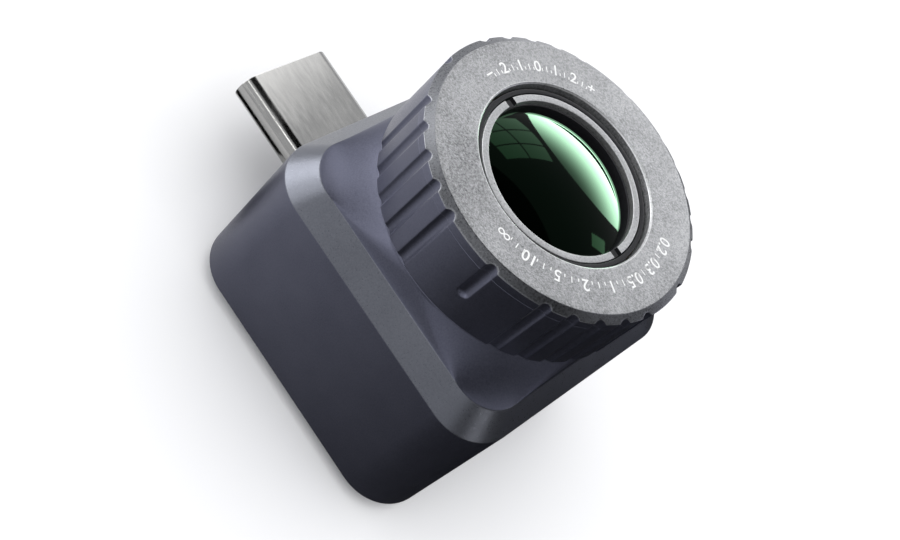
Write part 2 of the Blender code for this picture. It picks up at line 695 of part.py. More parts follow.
# ---- focus ring ---------------------------------------------------------------------
def flute_cutters():
    """Full-length shallow flutes in groups, leaving a smooth panel round each thumb groove."""
    flutes = bmesh.new()
    grooves = bmesh.new()
    tips = bmesh.new()
    per_panel = FLUTE_POSITIONS // PANELS
    reach = RING_RADIUS + FLUTE_RADIUS - FLUTE_DEPTH
    for position in range(FLUTE_POSITIONS):
        spot = around(reach, FLUTE_PHASE + math.tau * position / FLUTE_POSITIONS)
        place_in_panel = position % per_panel
        if place_in_panel == 0:
            rod(grooves, FLUTE_RADIUS, THUMB_GROOVE_END, BEZEL_FACE + MM, spot, 12)
            tip = Matrix.Translation((spot[0], spot[1], THUMB_GROOVE_END))
            bmesh.ops.create_uvsphere(tips, u_segments=12, v_segments=6,
                                      radius=FLUTE_RADIUS * 0.999, matrix=tip)
        elif place_in_panel not in (1, per_panel - 1):
            rod(flutes, FLUTE_RADIUS, RING_BACK - MM, BEZEL_FACE + MM, spot, 12)
    return [place("flute_cut", mesh_from("flute_cut", flutes), None),
            place("thumb_groove_cut", mesh_from("thumb_groove_cut", grooves), None),
            place("groove_tip_cut", mesh_from("groove_tip_cut", tips), None)]


def make_focus_ring():
    turn = pivot("focus_axis", (0, 0, 0))
    stop_groove = 9.4 * MM
    clip_groove = 9.35 * MM
    edge = 0.15 * MM
    grip = turned("grip_ring", [
        (RING_RADIUS, RING_FRONT),
        (RING_RADIUS, RING_BACK + edge),
        (RING_RADIUS - edge, RING_BACK),
        (RING_BORE, RING_BACK),
        (RING_BORE, 18.0 * MM),
        (clip_groove, 18.0 * MM),
        (clip_groove, 18.6 * MM),
        (RING_BORE, 18.6 * MM),
        (RING_BORE, 18.85 * MM),
        (stop_groove, 18.85 * MM),
        (stop_groove, 19.75 * MM),
        (RING_BORE, 19.75 * MM),
        (RING_BORE, RING_FRONT),
    ], "slate", turn, steps=RING_STEPS)
    bevel = 0.1 * MM
    bezel = turned("front_bezel", [
        (BEZEL_FACE_RADIUS, BEZEL_FACE),
        (RING_RADIUS, BEZEL_FACE - BEZEL_RIM_DROP),
        (RING_RADIUS, BEZEL_BACK),
        (BEZEL_HOLE, BEZEL_BACK),
        (BEZEL_HOLE, BEZEL_FACE - bevel),
        (BEZEL_HOLE + bevel, BEZEL_FACE),
    ], "silver", turn, steps=RING_STEPS)
    flutes, grooves, groove_tips = flute_cutters()
    for item in (grip, bezel):
        boolean(item, flutes)
        boolean(item, grooves)
    boolean(grip, groove_tips)
    turned("helicoid_ring", [
        (8.9 * MM, 21.4 * MM),
        (8.9 * MM, 20.75 * MM),
        (6.55 * MM, 20.75 * MM),
        (6.55 * MM, 21.4 * MM),
    ], "brass", turn)
    lug_angle = math.radians(-90 + 8)
    lug = block("stop_lug", 0.15 * MM, 0.6 * MM, 18.95 * MM, 19.65 * MM, "steel",
                at=(9.18 * MM, 0), parent=turn)
    lug.rotation_euler.z = lug_angle


# ---- lens ---------------------------------------------------------------------------
def make_lens():
    slide = pivot("lens_slide", (0, 0, 0))
    seat = 18.6 * MM
    barrel = turned("lens_barrel", [
        (BARREL_NOSE, BARREL_FRONT),
        (BARREL_NOSE, BARREL_SHOULDER),
        (BARREL_RADIUS, BARREL_SHOULDER),
        (BARREL_RADIUS, BARREL_BACK),
        (5.3 * MM, BARREL_BACK),
        (5.3 * MM, 15.9 * MM),
        (4.6 * MM, 15.9 * MM),
        (4.6 * MM, seat),
        (BARREL_BORE, seat),
        (BARREL_BORE, BARREL_FRONT),
    ], "black", slide)
    keyways = bmesh.new()
    for side in (-1, 1):
        add_block(keyways, 0.7 * MM, 0.65 * MM, BARREL_BACK - MM, BARREL_SHOULDER + MM,
                  at=(side * 7.75 * MM, 0))
    boolean(barrel, place("keyway_cut", mesh_from("keyway_cut", keyways), None))

    dome_edge = 5.3 * MM
    dome_low = 20.55 * MM
    dome_radius = 12.8 * MM
    dome_centre = dome_low - math.sqrt(dome_radius ** 2 - dome_edge ** 2)
    hollow_edge = 4.5 * MM
    hollow_radius = 18 * MM
    hollow_centre = seat + GAP - math.sqrt(hollow_radius ** 2 - hollow_edge ** 2)
    front = arc(dome_centre, dome_radius, 0.0, dome_edge, 7)
    front += [(5.85 * MM, dome_low), (5.85 * MM, seat + GAP)]
    front += arc(hollow_centre, hollow_radius, hollow_edge, 0.0, 3)
    turned("front_lens", front, "lens", slide, closed=False)
    turned("lens_spacer", [(5.9 * MM, 21.48 * MM), (5.9 * MM, dome_low + GAP),
                           (5.42 * MM, dome_low + GAP), (5.42 * MM, 21.48 * MM)], "black", slide)
    top_edge = 0.06 * MM
    ring = turned("retaining_ring", [
        (5.92 * MM - top_edge, BARREL_FRONT),
        (5.92 * MM, BARREL_FRONT - top_edge),
        (5.92 * MM, 21.55 * MM),
        (5.45 * MM, 21.55 * MM),
        (5.45 * MM, BARREL_FRONT - top_edge),
        (5.45 * MM + top_edge, BARREL_FRONT),
    ], "silver", slide)
    # A thin web is left below each spanner notch, so the ring stays one piece.
    notches = bmesh.new()
    for side in (-1, 1):
        add_block(notches, 0.38 * MM, 0.8 * MM, 21.67 * MM, 23 * MM, at=(0, side * 5.7 * MM))
    boolean(ring, place("spanner_notch_cut", mesh_from("spanner_notch_cut", notches), None))

    rear_high = 15.75 * MM
    rear_low = 14.3 * MM
    rear_radius = 14 * MM
    rear_centre = rear_high - rear_radius
    rear = arc(rear_centre, rear_radius, 0.0, 4.5 * MM, 4)
    rear += [(5.15 * MM, rear[-1][1]), (5.15 * MM, rear_low), (0.0, rear_low)]
    turned("rear_lens", rear, "lens", slide, closed=False, steps=HIDDEN_STEPS)
    turned("rear_lens_ring", [(5.2 * MM, 14.2 * MM), (5.2 * MM, 13.4 * MM), (4.3 * MM, 13.4 * MM),
                              (4.3 * MM, 14.2 * MM)], "black", slide, steps=HIDDEN_STEPS)


clear_scene()
PARTS = new_collection("thermal_imaging_camera")
CUTTERS = new_collection("cutters")
make_housing()
make_neck_fittings()
make_rear_cover()
make_inner_frame()
make_main_board()
make_flex_cable()
make_sensor_stack()
make_shutter()
make_plug()
make_focus_ring()
make_lens()
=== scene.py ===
import math

import bmesh
import bpy
import numpy as np
from mathutils import Matrix, Vector


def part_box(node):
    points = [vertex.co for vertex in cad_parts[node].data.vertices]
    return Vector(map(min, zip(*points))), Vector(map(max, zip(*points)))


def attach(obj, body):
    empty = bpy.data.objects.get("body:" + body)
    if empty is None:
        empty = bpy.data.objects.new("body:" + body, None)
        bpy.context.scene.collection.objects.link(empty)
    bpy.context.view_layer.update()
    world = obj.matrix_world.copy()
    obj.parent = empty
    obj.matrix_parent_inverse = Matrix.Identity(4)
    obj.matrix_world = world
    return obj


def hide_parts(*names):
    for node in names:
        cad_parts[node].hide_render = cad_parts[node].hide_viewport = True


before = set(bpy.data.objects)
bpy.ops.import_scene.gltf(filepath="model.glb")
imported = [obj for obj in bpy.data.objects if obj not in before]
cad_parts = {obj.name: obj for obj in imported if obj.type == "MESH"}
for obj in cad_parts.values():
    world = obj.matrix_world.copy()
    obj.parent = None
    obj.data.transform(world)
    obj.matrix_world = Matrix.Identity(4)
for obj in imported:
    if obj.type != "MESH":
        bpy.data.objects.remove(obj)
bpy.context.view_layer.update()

MM = 0.001


def span(node):
    """Lowest and highest corner of a CAD node, in millimetres."""
    low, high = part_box(node)
    return low / MM, high / MM


# ---- sizes read from the frame, and the few that a box cannot give ---------------------------
BODY_LOW, BODY_HIGH = span("main_housing")
BODY_X = BODY_HIGH.x
BODY_Y = BODY_HIGH.y
NECK_END = BODY_HIGH.z
BODY_CORNER = 3.6
REAR_CHAMFER = 1.2
REAR_CORNER = BODY_CORNER - 0.6 * REAR_CHAMFER
FRONT_CHAMFER = 1.28
CHAMFER_START = 12.65
FRONT_FACE = 14.5
TURRET_RIM = 16.1
TURRET_RADIUS = 9.8
NECK_RADIUS = 8.7
NECK_BORE = 7.9

RING_LOW, RING_HIGH = span("grip_ring")
RING_RADIUS = 10.1
FLUTE_RADIUS = 0.46
FLUTE_DEPTH = 0.26
FLUTE_CENTRE = RING_RADIUS + FLUTE_RADIUS - FLUTE_DEPTH
FLUTE_POSITIONS = 32
PANEL = 8
FLUTE_PHASE = math.radians(195.75)
THUMB_GROOVE_END = 19.1

BEZEL_LOW, BEZEL_HIGH = span("front_bezel")
PRINT_HEIGHT = 0.008
BEZEL_FACE = BEZEL_HIGH.z - PRINT_HEIGHT
SEAM_BREAK = 0.012
INFINITY_SIGN = "\u221e"
BEZEL_FACE_RADIUS = 9.55
BEZEL_RIM_DROP = 0.35
BEZEL_HOLE = 6.45

COVER_LOW, COVER_HIGH = span("rear_cover")
COVER_CORNER = REAR_CORNER - 0.25
COVER_GAP = 0.1
BADGE_LOW, BADGE_HIGH = span("badge_frame")
BADGE_CORNER = 0.7
BADGE_EDGE = 0.18
GROOVE_PITCH = 1.2
GROOVE_WIDTH = 0.3
GROOVE_DEPTH = 0.28
GROOVE_MARGIN = 0.95

PLUG_LOW, PLUG_HIGH = span("plug_shell")
PLUG_HEIGHT = (PLUG_LOW.z + PLUG_HIGH.z) / 2
PLUG_WIDTH = PLUG_HIGH.x - PLUG_LOW.x
PLUG_THICK = PLUG_HIGH.z - PLUG_LOW.z
PLUG_WALL = 0.25
COLLAR_LOW, COLLAR_HIGH = span("plug_collar")


# ---- mesh helpers ----------------------------------------------------------------------------
def filleted(points, radius, steps=4, closed=True):
    """Round the corners of an outline, in any number of dimensions, by up to the radius."""
    corners = [np.array(point, float) for point in points]
    out = []
    for index, corner in enumerate(corners):
        if not closed and index in (0, len(corners) - 1):
            out.append(corner)
            continue
        before = corners[index - 1] - corner
        after = corners[(index + 1) % len(corners)] - corner
        before_length = np.linalg.norm(before)
        after_length = np.linalg.norm(after)
        reach = min(radius, 0.45 * before_length, 0.45 * after_length)
        start = corner + before / before_length * reach
        end = corner + after / after_length * reach
        for step in range(steps + 1):
            t = step / steps
            out.append((1 - t) ** 2 * start + 2 * t * (1 - t) * corner + t * t * end)
    return out


def mesh_object(name, shape):
    """Make an object from a bmesh in millimetres, with clean outward faces."""
    bmesh.ops.remove_doubles(shape, verts=shape.verts, dist=0.0004)
    bmesh.ops.recalc_face_normals(shape, faces=shape.faces)
    bmesh.ops.scale(shape, vec=(MM, MM, MM), verts=shape.verts)
    mesh = bpy.data.meshes.new(name)
    shape.to_mesh(mesh)
    shape.free()
    item = bpy.data.objects.new(name, mesh)
    bpy.context.scene.collection.objects.link(item)
    return item


def skin(name, loops, closed=False, cap=True):
    """Join loops of equal length with quads. closed joins the last loop to the first."""
    shape = bmesh.new()
    rings = [[shape.verts.new(point) for point in loop] for loop in loops]
    pairs = list(zip(rings, rings[1:]))
    if closed:
        pairs.append((rings[-1], rings[0]))
    for lower, upper in pairs:
        for index in range(len(lower)):
            after = (index + 1) % len(lower)
            shape.faces.new((lower[index], lower[after], upper[after], upper[index]))
    if cap and not closed:
        shape.faces.new(list(reversed(rings[0])))
        shape.faces.new(rings[-1])
    return mesh_object(name, shape)


def circle(radius, height, steps):
    turn = np.linspace(0, math.tau, steps, endpoint=False)
    return np.column_stack([radius * np.cos(turn), radius * np.sin(turn), np.full(steps, height)])


def lathe(name, outline, steps=192, edge=0.03, rounds=3):
    """Turn a closed (radius, height) outline about Z, with softened corners."""
    points = filleted(outline, edge, rounds)
    return skin(name, [circle(radius, height, steps) for radius, height in points], closed=True)


def rounded_loop(half_x, half_y, corner, height, steps=12, side_steps=1):
    """Points round a rounded rectangle, with extra points along its straight sides."""
    corner = min(corner, half_x - 0.005, half_y - 0.005)
    arcs = []
    for quarter in range(4):
        side_x = 1 if quarter in (0, 3) else -1
        side_y = 1 if quarter in (0, 1) else -1
        angles = math.radians(90) * (quarter + np.arange(steps + 1) / steps)
        arcs.append(np.column_stack([side_x * (half_x - corner) + corner * np.cos(angles),
                                     side_y * (half_y - corner) + corner * np.sin(angles)]))
    points = []
    for quarter, bend in enumerate(arcs):
        points.extend(bend)
        following = arcs[(quarter + 1) % 4][0]
        for step in range(1, side_steps):
            points.append(bend[-1] + (following - bend[-1]) * step / side_steps)
    flat = np.array(points)
    return np.column_stack([flat, np.full(len(flat), height)])


def loft(name, sections, steps=12, side_steps=1, closed=False):
    """Skin rounded rectangles, each given as half x, half y, corner radius and height."""
    loops = [rounded_loop(*section, steps, side_steps) for section in sections]
    return skin(name, loops, closed)


def along_y(item, height=PLUG_HEIGHT):
    """Turn a piece built along Z so that it lies along +Y at the plug's height."""
    turn = Matrix.Translation((0, 0, height * MM)) @ Matrix.Rotation(math.radians(-90), 4, "X")
    item.data.transform(turn)
    return item


def oval_sections(width, thick, outline, edge, closed):
    """Sections of a slot shape from (inset, height) points, with softened corners."""
    points = filleted(outline, edge, 4, closed)
    return [(width / 2 - inset, thick / 2 - inset, thick / 2 - inset, height)
            for inset, height in points]


def cut(target, tool, operation="DIFFERENCE"):
    """Apply an exact Boolean, join vertices that coincide, and remove the tool."""
    modifier = target.modifiers.new(operation.lower(), "BOOLEAN")
    modifier.operation = operation
    modifier.object = tool
    modifier.solver = "EXACT"
    evaluated = target.evaluated_get(bpy.context.evaluated_depsgraph_get())
    made = bpy.data.meshes.new_from_object(evaluated)
    target.modifiers.clear()
    shape = bmesh.new()
    shape.from_mesh(made)
    bmesh.ops.remove_doubles(shape, verts=shape.verts, dist=0.0002 * MM)
    shape.to_mesh(made)
    shape.free()
    target.data = made
    bpy.data.objects.remove(tool, do_unlink=True)


def rod(name, radius, low, high, at=(0.0, 0.0), steps=96):
    shape = bmesh.new()
    spot = Matrix.Translation((at[0], at[1], (low + high) / 2))
    bmesh.ops.create_cone(shape, cap_ends=True, segments=steps, radius1=radius, radius2=radius,
                          depth=high - low, matrix=spot)
    return mesh_object(name, shape)


def smooth(item, degrees=32):
    """Smooth shading that keeps flat faces flat and creases sharp."""
    item.data.shade_smooth()
    item.data.set_sharp_from_angle(angle=math.radians(degrees))
    weighted = item.modifiers.new("flat_faces", "WEIGHTED_NORMAL")
    weighted.keep_sharp = True
    weighted.weight = 80
    return item


def finish_piece(item, body, material, slot, *nodes):
    """Shade a piece, give it its material, and fix it to its body in place of CAD nodes."""
    smooth(item)
    item.data.materials.clear()
    item.data.materials.append(material)
    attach(item, body)
    if nodes:
        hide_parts(*nodes)
    return item


# ---- materials -------------------------------------------------------------------------------
class Shade:
    """A node material built step by step, measured in millimetres on the object."""

    def __init__(self, name, **values):
        self.material = bpy.data.materials.new(name)
        self.material.use_nodes = True
        self.tree = self.material.node_tree
        self.shader = self.tree.nodes["Principled BSDF"]
        for key, value in values.items():
            self.shader.inputs[key.replace("_", " ")].default_value = value
        place = self.tree.nodes.new("ShaderNodeTexCoord")
        scale = self.tree.nodes.new("ShaderNodeMapping")
        scale.inputs["Scale"].default_value = (1 / MM, 1 / MM, 1 / MM)
        self.link(place.outputs["Object"], scale.inputs["Vector"])
        self.place = scale.outputs["Vector"]

    def link(self, source, target):
        self.tree.links.new(source, target)

    def stretched(self, scale):
        """The same coordinates stretched, for brushed or drawn grain."""
        node = self.tree.nodes.new("ShaderNodeMapping")
        node.inputs["Scale"].default_value = scale
        self.link(self.place, node.inputs["Vector"])
        return node.outputs["Vector"]

    def noise(self, per_mm, detail=3.0, roughness=0.55, where=None):
        node = self.tree.nodes.new("ShaderNodeTexNoise")
        node.inputs["Scale"].default_value = per_mm
        node.inputs["Detail"].default_value = detail
        node.inputs["Roughness"].default_value = roughness
        self.link(where or self.place, node.inputs["Vector"])
        return node.outputs["Fac"]

    def ramp(self, source, low, high, start=0.0, end=1.0):
        """Map a 0 to 1 value between two numbers, over part of its span."""
        node = self.tree.nodes.new("ShaderNodeMapRange")
        node.inputs["From Min"].default_value = start
        node.inputs["From Max"].default_value = end
        node.inputs["To Min"].default_value = low
        node.inputs["To Max"].default_value = high
        self.link(source, node.inputs["Value"])
        return node.outputs["Result"]

    def maths(self, operation, first, second):
        node = self.tree.nodes.new("ShaderNodeMath")
        node.operation = operation
        for socket, value in zip(node.inputs, (first, second)):
            if isinstance(value, (int, float)):
                socket.default_value = value
            else:
                self.link(value, socket)
        return node.outputs["Value"]

    def mixed(self, factor, first, second):
        """Blend two colours, each a tuple or a socket."""
        node = self.tree.nodes.new("ShaderNodeMix")
        node.data_type = "RGBA"
        self.link(factor, node.inputs["Factor"])
        for key, value in (("A", first), ("B", second)):
            socket = [s for s in node.inputs if s.name == key and s.type == "RGBA"][0]
            if isinstance(value, tuple):
                socket.default_value = (*value, 1.0)
            else:
                self.link(value, socket)
        return [s for s in node.outputs if s.type == "RGBA"][0]

    def bump(self, height, depth_mm, strength=1.0):
        node = self.tree.nodes.new("ShaderNodeBump")
        node.inputs["Strength"].default_value = strength
        node.inputs["Distance"].default_value = depth_mm * MM
        self.link(height, node.inputs["Height"])
        self.link(node.outputs["Normal"], self.shader.inputs["Normal"])

    def edges(self, width=0.05):
        """0 on flats, 1 on sharp edges, broken up by noise: the mask for edge wear and a painted edge
        highlight.
        """
        rounded = self.tree.nodes.new("ShaderNodeBevel")
        rounded.samples = 4
        rounded.inputs["Radius"].default_value = width * MM
        plain = self.tree.nodes.new("ShaderNodeNewGeometry")
        compare = self.tree.nodes.new("ShaderNodeVectorMath")
        compare.operation = "DOT_PRODUCT"
        self.link(rounded.outputs["Normal"], compare.inputs[0])
        self.link(plain.outputs["Normal"], compare.inputs[1])
        edge_wear_and_highlight = self.ramp(compare.outputs["Value"], 1.0, 0.0, 0.75, 0.98)
        patchy = self.ramp(self.noise(1.3, 4.0), 0.35, 1.0, 0.35, 0.65)
        return self.maths("MULTIPLY", edge_wear_and_highlight, patchy)

    def colour(self, socket):
        self.link(socket, self.shader.inputs["Base Color"])

    def rough(self, socket):
        self.link(socket, self.shader.inputs["Roughness"])


def blasted_metal(name, dark, light, edge_wear_and_highlight, metallic, rough, grain, depth, contrast=1.0):
    """Bead-blasted metal: fine speckle, slow cloudiness, and edges painted brighter, as edge wear and
    as a painted highlight.
    """
    made = Shade(name, Metallic=metallic)
    speckle = made.noise(grain, 2.0, 0.6)
    cloud = made.noise(0.22, 3.0)
    mottled = made.maths("ADD", made.ramp(speckle, 0.0, 0.75 * contrast, 0.28, 0.72),
                         made.ramp(cloud, 0.0, 0.35, 0.3, 0.7))
    base = made.mixed(mottled, dark, light)
    # Sharp edges take the lighter edge colour: part edge wear, part painted highlight.
    edge = made.edges()
    made.colour(made.mixed(edge, base, edge_wear_and_highlight))
    spread = made.ramp(speckle, rough - 0.06, rough + 0.08, 0.3, 0.7)
    made.rough(made.maths("SUBTRACT", spread, made.maths("MULTIPLY", edge, 0.12)))
    made.bump(made.noise(grain * 1.3, 3.0, 0.65), depth)
    return made.material


def plain_metal(name, dark, light, rough, stretch=(1, 1, 1), depth=0.002, grain=6.0, **values):
    """Machined or polished metal with faint drawn lines and smudges."""
    made = Shade(name, Metallic=1.0, **values)
    lines = made.noise(grain, 4.0, 0.6, made.stretched(stretch))
    smudge = made.noise(0.35, 3.0)
    made.colour(made.mixed(made.ramp(lines, 0.0, 1.0, 0.3, 0.7), dark, light))
    spread = made.maths("ADD", made.ramp(lines, -0.03, 0.05, 0.3, 0.7),
                        made.ramp(smudge, rough - 0.02, rough + 0.05, 0.35, 0.65))
    made.rough(spread)
    made.bump(lines, depth)
    return made.material


def moulded(name, dark, light, rough, grain=9.0, depth=0.006, **values):
    """Moulded plastic, rubber, board or ceramic with a fine even texture."""
    made = Shade(name, **values)
    fine = made.noise(grain, 3.0, 0.6)
    slow = made.noise(0.5, 3.0)
    both = made.maths("ADD", made.ramp(fine, 0.0, 0.6, 0.3, 0.7), made.ramp(slow, 0.0, 0.4, 0.3, 0.7))
    made.colour(made.mixed(both, dark, light))
    made.rough(made.ramp(fine, rough - 0.06, rough + 0.08, 0.3, 0.7))
    made.bump(fine, depth)
    return made.material


def coated_glass():
    """Dark infrared glass whose coating reflects green."""
    made = Shade("coated_lens_finish", Roughness=0.04, IOR=1.12,
                 Specular_Tint=(0.42, 1.0, 0.58, 1.0))
    facing = made.tree.nodes.new("ShaderNodeLayerWeight")
    facing.inputs["Blend"].default_value = 0.35
    deep = made.mixed(made.noise(0.3, 2.0), (0.0003, 0.0005, 0.0004), (0.0006, 0.001, 0.0007))
    made.colour(made.mixed(facing.outputs["Facing"], deep, (0.0005, 0.002, 0.001)))
    made.rough(made.ramp(made.noise(0.8, 3.0), 0.03, 0.055, 0.35, 0.65))
    made.bump(made.noise(0.15, 1.0), 0.004)
    return made.material


# The third colour of each blasted metal is its edge colour: edge wear and a painted edge highlight.
SLATE = blasted_metal("slate_aluminium_finish", (0.072, 0.075, 0.105), (0.112, 0.116, 0.155),
                      (0.130, 0.135, 0.172), 0.88, 0.38, 9.0, 0.006, 0.8)
CHAMFER = blasted_metal("cut_slate_finish", (0.104, 0.109, 0.127), (0.150, 0.157, 0.180),
                        (0.4, 0.41, 0.43), 0.92, 0.33, 9.0, 0.005, 0.7)
SILVER = blasted_metal("silver_aluminium_finish", (0.08, 0.082, 0.086), (0.32, 0.324, 0.332),
                       (0.6, 0.6, 0.61), 0.75, 0.42, 7.0, 0.028, 1.25)
RING_SILVER = blasted_metal("ring_silver_finish", (0.34, 0.345, 0.35), (0.6, 0.605, 0.61),
                            (0.8, 0.8, 0.81), 0.85, 0.33, 7.0, 0.012, 1.0)
CUT_SILVER = blasted_metal("bright_cut_aluminium_finish", (0.12, 0.124, 0.134), (0.22, 0.225, 0.238),
                           (0.32, 0.325, 0.335), 0.92, 0.3, 8.0, 0.006, 0.7)
NICKEL = plain_metal("nickel_steel_finish", (0.31, 0.308, 0.30), (0.35, 0.347, 0.337), 0.16,
                     (1, 0.2, 1), 0.0002, 3.0)
STEEL = plain_metal("bright_steel_finish", (0.42, 0.42, 0.41), (0.6, 0.6, 0.58), 0.28)
BRASS = plain_metal("brass_finish", (0.5, 0.34, 0.11), (0.68, 0.5, 0.2), 0.27, (1, 1, 9))
COPPER = plain_metal("copper_finish", (0.6, 0.28, 0.16), (0.78, 0.42, 0.26), 0.3)
GOLD = plain_metal("gold_contacts_finish", (0.72, 0.5, 0.17), (0.9, 0.68, 0.3), 0.22)
COLLAR = moulded("collar_plastic_finish", (0.05, 0.052, 0.05), (0.085, 0.088, 0.085), 0.42)
BLACK_METAL = blasted_metal("black_aluminium_finish", (0.010, 0.010, 0.012), (0.018, 0.018, 0.021),
                            (0.06, 0.06, 0.065), 0.4, 0.42, 8.0, 0.008)
BLACK = moulded("black_plastic_finish", (0.008, 0.008, 0.009), (0.018, 0.018, 0.019), 0.5)
RUBBER = moulded("black_rubber_finish", (0.012, 0.012, 0.012), (0.025, 0.025, 0.024), 0.78, 5.0)
BOARD = moulded("circuit_board_finish", (0.008, 0.05, 0.022), (0.02, 0.10, 0.045), 0.42, 2.2)
CHIP = moulded("chip_plastic_finish", (0.018, 0.018, 0.02), (0.035, 0.035, 0.037), 0.5, 12.0)
CERAMIC = moulded("ceramic_finish", (0.46, 0.43, 0.37), (0.6, 0.57, 0.5), 0.55, 7.0)
POLYIMIDE = moulded("polyimide_finish", (0.42, 0.19, 0.03), (0.58, 0.29, 0.06), 0.33, 2.0)
PAD = moulded("thermal_pad_finish", (0.36, 0.46, 0.54), (0.5, 0.6, 0.66), 0.85, 4.0)
WINDOW = plain_metal("coated_window_finish", (0.06, 0.06, 0.075), (0.11, 0.11, 0.13), 0.1)
GLOSS = moulded("badge_gloss_finish", (0.003, 0.0035, 0.0035), (0.006, 0.007, 0.0068), 0.12, 0.7,
                0.0006, IOR=1.2, Coat_Weight=0.15, Coat_Roughness=0.04)
WHITE_PRINT = moulded("white_print_finish", (0.72, 0.72, 0.72), (0.88, 0.88, 0.87), 0.5, 14.0, 0.003)
RED_PRINT = moulded("red_print_finish", (0.42, 0.006, 0.012), (0.62, 0.012, 0.02), 0.35, 9.0, 0.002)
LENS = coated_glass()


# ---- housing ---------------------------------------------------------------------------------
def housing_sections():
    rear_x = BODY_X - REAR_CHAMFER
    rear_y = BODY_Y - REAR_CHAMFER
    face_x = BODY_X - FRONT_CHAMFER
    face_y = BODY_Y - FRONT_CHAMFER
    face_corner = BODY_CORNER - 0.6 * FRONT_CHAMFER
    corners = [
        (rear_x - 0.2, rear_y - 0.2, REAR_CORNER - 0.2, 0.0),
        (rear_x, rear_y, REAR_CORNER, 0.0),
        (BODY_X, BODY_Y, BODY_CORNER, REAR_CHAMFER),
        (BODY_X, BODY_Y, BODY_CORNER, CHAMFER_START),
        (face_x, face_y, face_corner, FRONT_FACE),
    ]
    blend_steps = 22
    for index in range(1, blend_steps + 1):
        share = index / blend_steps
        corners.append((face_x + (TURRET_RADIUS - face_x) * share,
                        face_y + (TURRET_RADIUS - face_y) * share,
                        face_corner + (TURRET_RADIUS - face_corner) * share,
                        FRONT_FACE + (TURRET_RIM - FRONT_FACE) * share ** 1.7))
    start = filleted(corners[:6], 0.09, 4, closed=False)
    edge = 0.12
    rim = [corners[-1], (TURRET_RADIUS, TURRET_RADIUS, TURRET_RADIUS, TURRET_RIM + 0.02),
           (TURRET_RADIUS - edge, TURRET_RADIUS - edge, TURRET_RADIUS - edge, TURRET_RIM + edge),
           (NECK_RADIUS - 0.2, NECK_RADIUS - 0.2, NECK_RADIUS - 0.2, TURRET_RIM + edge)]
    return start + corners[6:-1] + filleted(rim, 0.04, 3, closed=False)


def make_housing():
    shell = loft("housing_shell", housing_sections(), steps=16, side_steps=8)
    inner = NECK_BORE + 0.1
    neck = [(NECK_RADIUS - 0.2, NECK_END), (NECK_RADIUS, NECK_END - 0.2), (NECK_RADIUS, 18.55),
            (8.3, 18.55), (8.3, 18.05), (NECK_RADIUS, 18.05), (NECK_RADIUS, 17.75), (8.2, 17.75),
            (8.2, 16.95), (NECK_RADIUS, 16.95), (NECK_RADIUS, FRONT_FACE), (inner, FRONT_FACE),
            (inner, NECK_END)]
    tube = lathe("neck_tool", neck, 128, 0.03)
    pin_hole = rod("pin_tool", 0.45, 7.4, 9.2, steps=24)
    pin_hole.data.transform(Matrix.Translation((0, 0, 19.3 * MM))
                            @ Matrix.Rotation(math.radians(90), 4, "X"))
    cut(tube, pin_hole)
    cut(shell, tube, "UNION")
    cut(shell, loft("cavity_tool", [(10.05, 9.55, 2.2, -1.0), (10.05, 9.55, 2.2, 12.9)]))
    seat = (COVER_HIGH.x + COVER_GAP, COVER_HIGH.y + COVER_GAP, COVER_CORNER + COVER_GAP)
    cut(shell, loft("seat_tool", [(*seat, -1.0), (*seat, COVER_HIGH.z + 0.3)]))
    cut(shell, rod("bore_tool", NECK_BORE, 12.0, NECK_END + 1.0, steps=128))
    collar_seat = [(-0.1, BODY_Y - 1.0), (-0.1, BODY_Y - 0.08), (-0.18, BODY_Y + 0.02),
                   (-0.18, BODY_Y + 1.0)]
    cut(shell, along_y(loft("collar_seat_tool", oval_sections(
        10.6, 4.4, collar_seat, 0.02, False))))
    plug_way = [(-0.2, BODY_Y - 2.6), (-0.2, BODY_Y + 1.0)]
    cut(shell, along_y(loft("plug_way_tool", oval_sections(
        PLUG_WIDTH, PLUG_THICK, plug_way, 0.02, False))))
    for side in (-1, 1):
        pocket = loft("pocket_tool", [(0.6, 0.6, 0.05, 14.4), (0.6, 0.6, 0.05, 15.8)])
        pocket.data.transform(Matrix.Translation((side * 8.2 * MM, 0, 0)))
        cut(shell, pocket)
    finish_piece(shell, "housing", SLATE, "slate_aluminium", "main_housing")
    mark_chamfer(shell, CHAMFER_START, FRONT_FACE)
    mark_chamfer(shell, 0.0, REAR_CHAMFER)


def mark_chamfer(shell, low, high):
    """Give the cut band between two heights its brighter finish."""
    shell.data.materials.append(CHAMFER)
    number = len(shell.data.materials) - 1
    for polygon in shell.data.polygons:
        middle = polygon.center / MM
        outside = abs(middle.x) > BODY_X - 1.45 or abs(middle.y) > BODY_Y - 1.45
        corner = math.hypot(middle.x, middle.y) > 11.2
        sloped = 0.25 < abs(polygon.normal.z) < 0.93
        if low - 0.02 < middle.z < high + 0.02 and sloped and (outside or corner):
            polygon.material_index = number


# ---- rear cover and badge --------------------------------------------------------------------
def inside_rounded(x, y, half_x, half_y, corner):
    over_x = max(abs(x) - (half_x - corner), 0.0)
    over_y = max(abs(y) - (half_y - corner), 0.0)
    return math.hypot(over_x, over_y) <= corner


def groove_runs(offset):
    """Start and end of each groove on one diagonal, clear of the rim and of the badge."""
    diagonal = math.sqrt(0.5)
    runs = []
    start = None
    for along in np.arange(-16.0, 16.05, 0.05):
        x = (offset - along) * diagonal
        y = (offset + along) * diagonal
        in_face = inside_rounded(x, y, COVER_HIGH.x - GROOVE_MARGIN, COVER_HIGH.y - GROOVE_MARGIN,
                                 COVER_CORNER - 0.6 * GROOVE_MARGIN)
        in_badge = inside_rounded(x, y, BADGE_HIGH.x + GROOVE_MARGIN, BADGE_HIGH.y + GROOVE_MARGIN,
                                  BADGE_CORNER + 0.6 * GROOVE_MARGIN)
        open_here = in_face and not in_badge
        if open_here and start is None:
            start = along
        if start is not None and not open_here:
            if along - start > 1.0:
                runs.append((start, along))
            start = None
    return runs


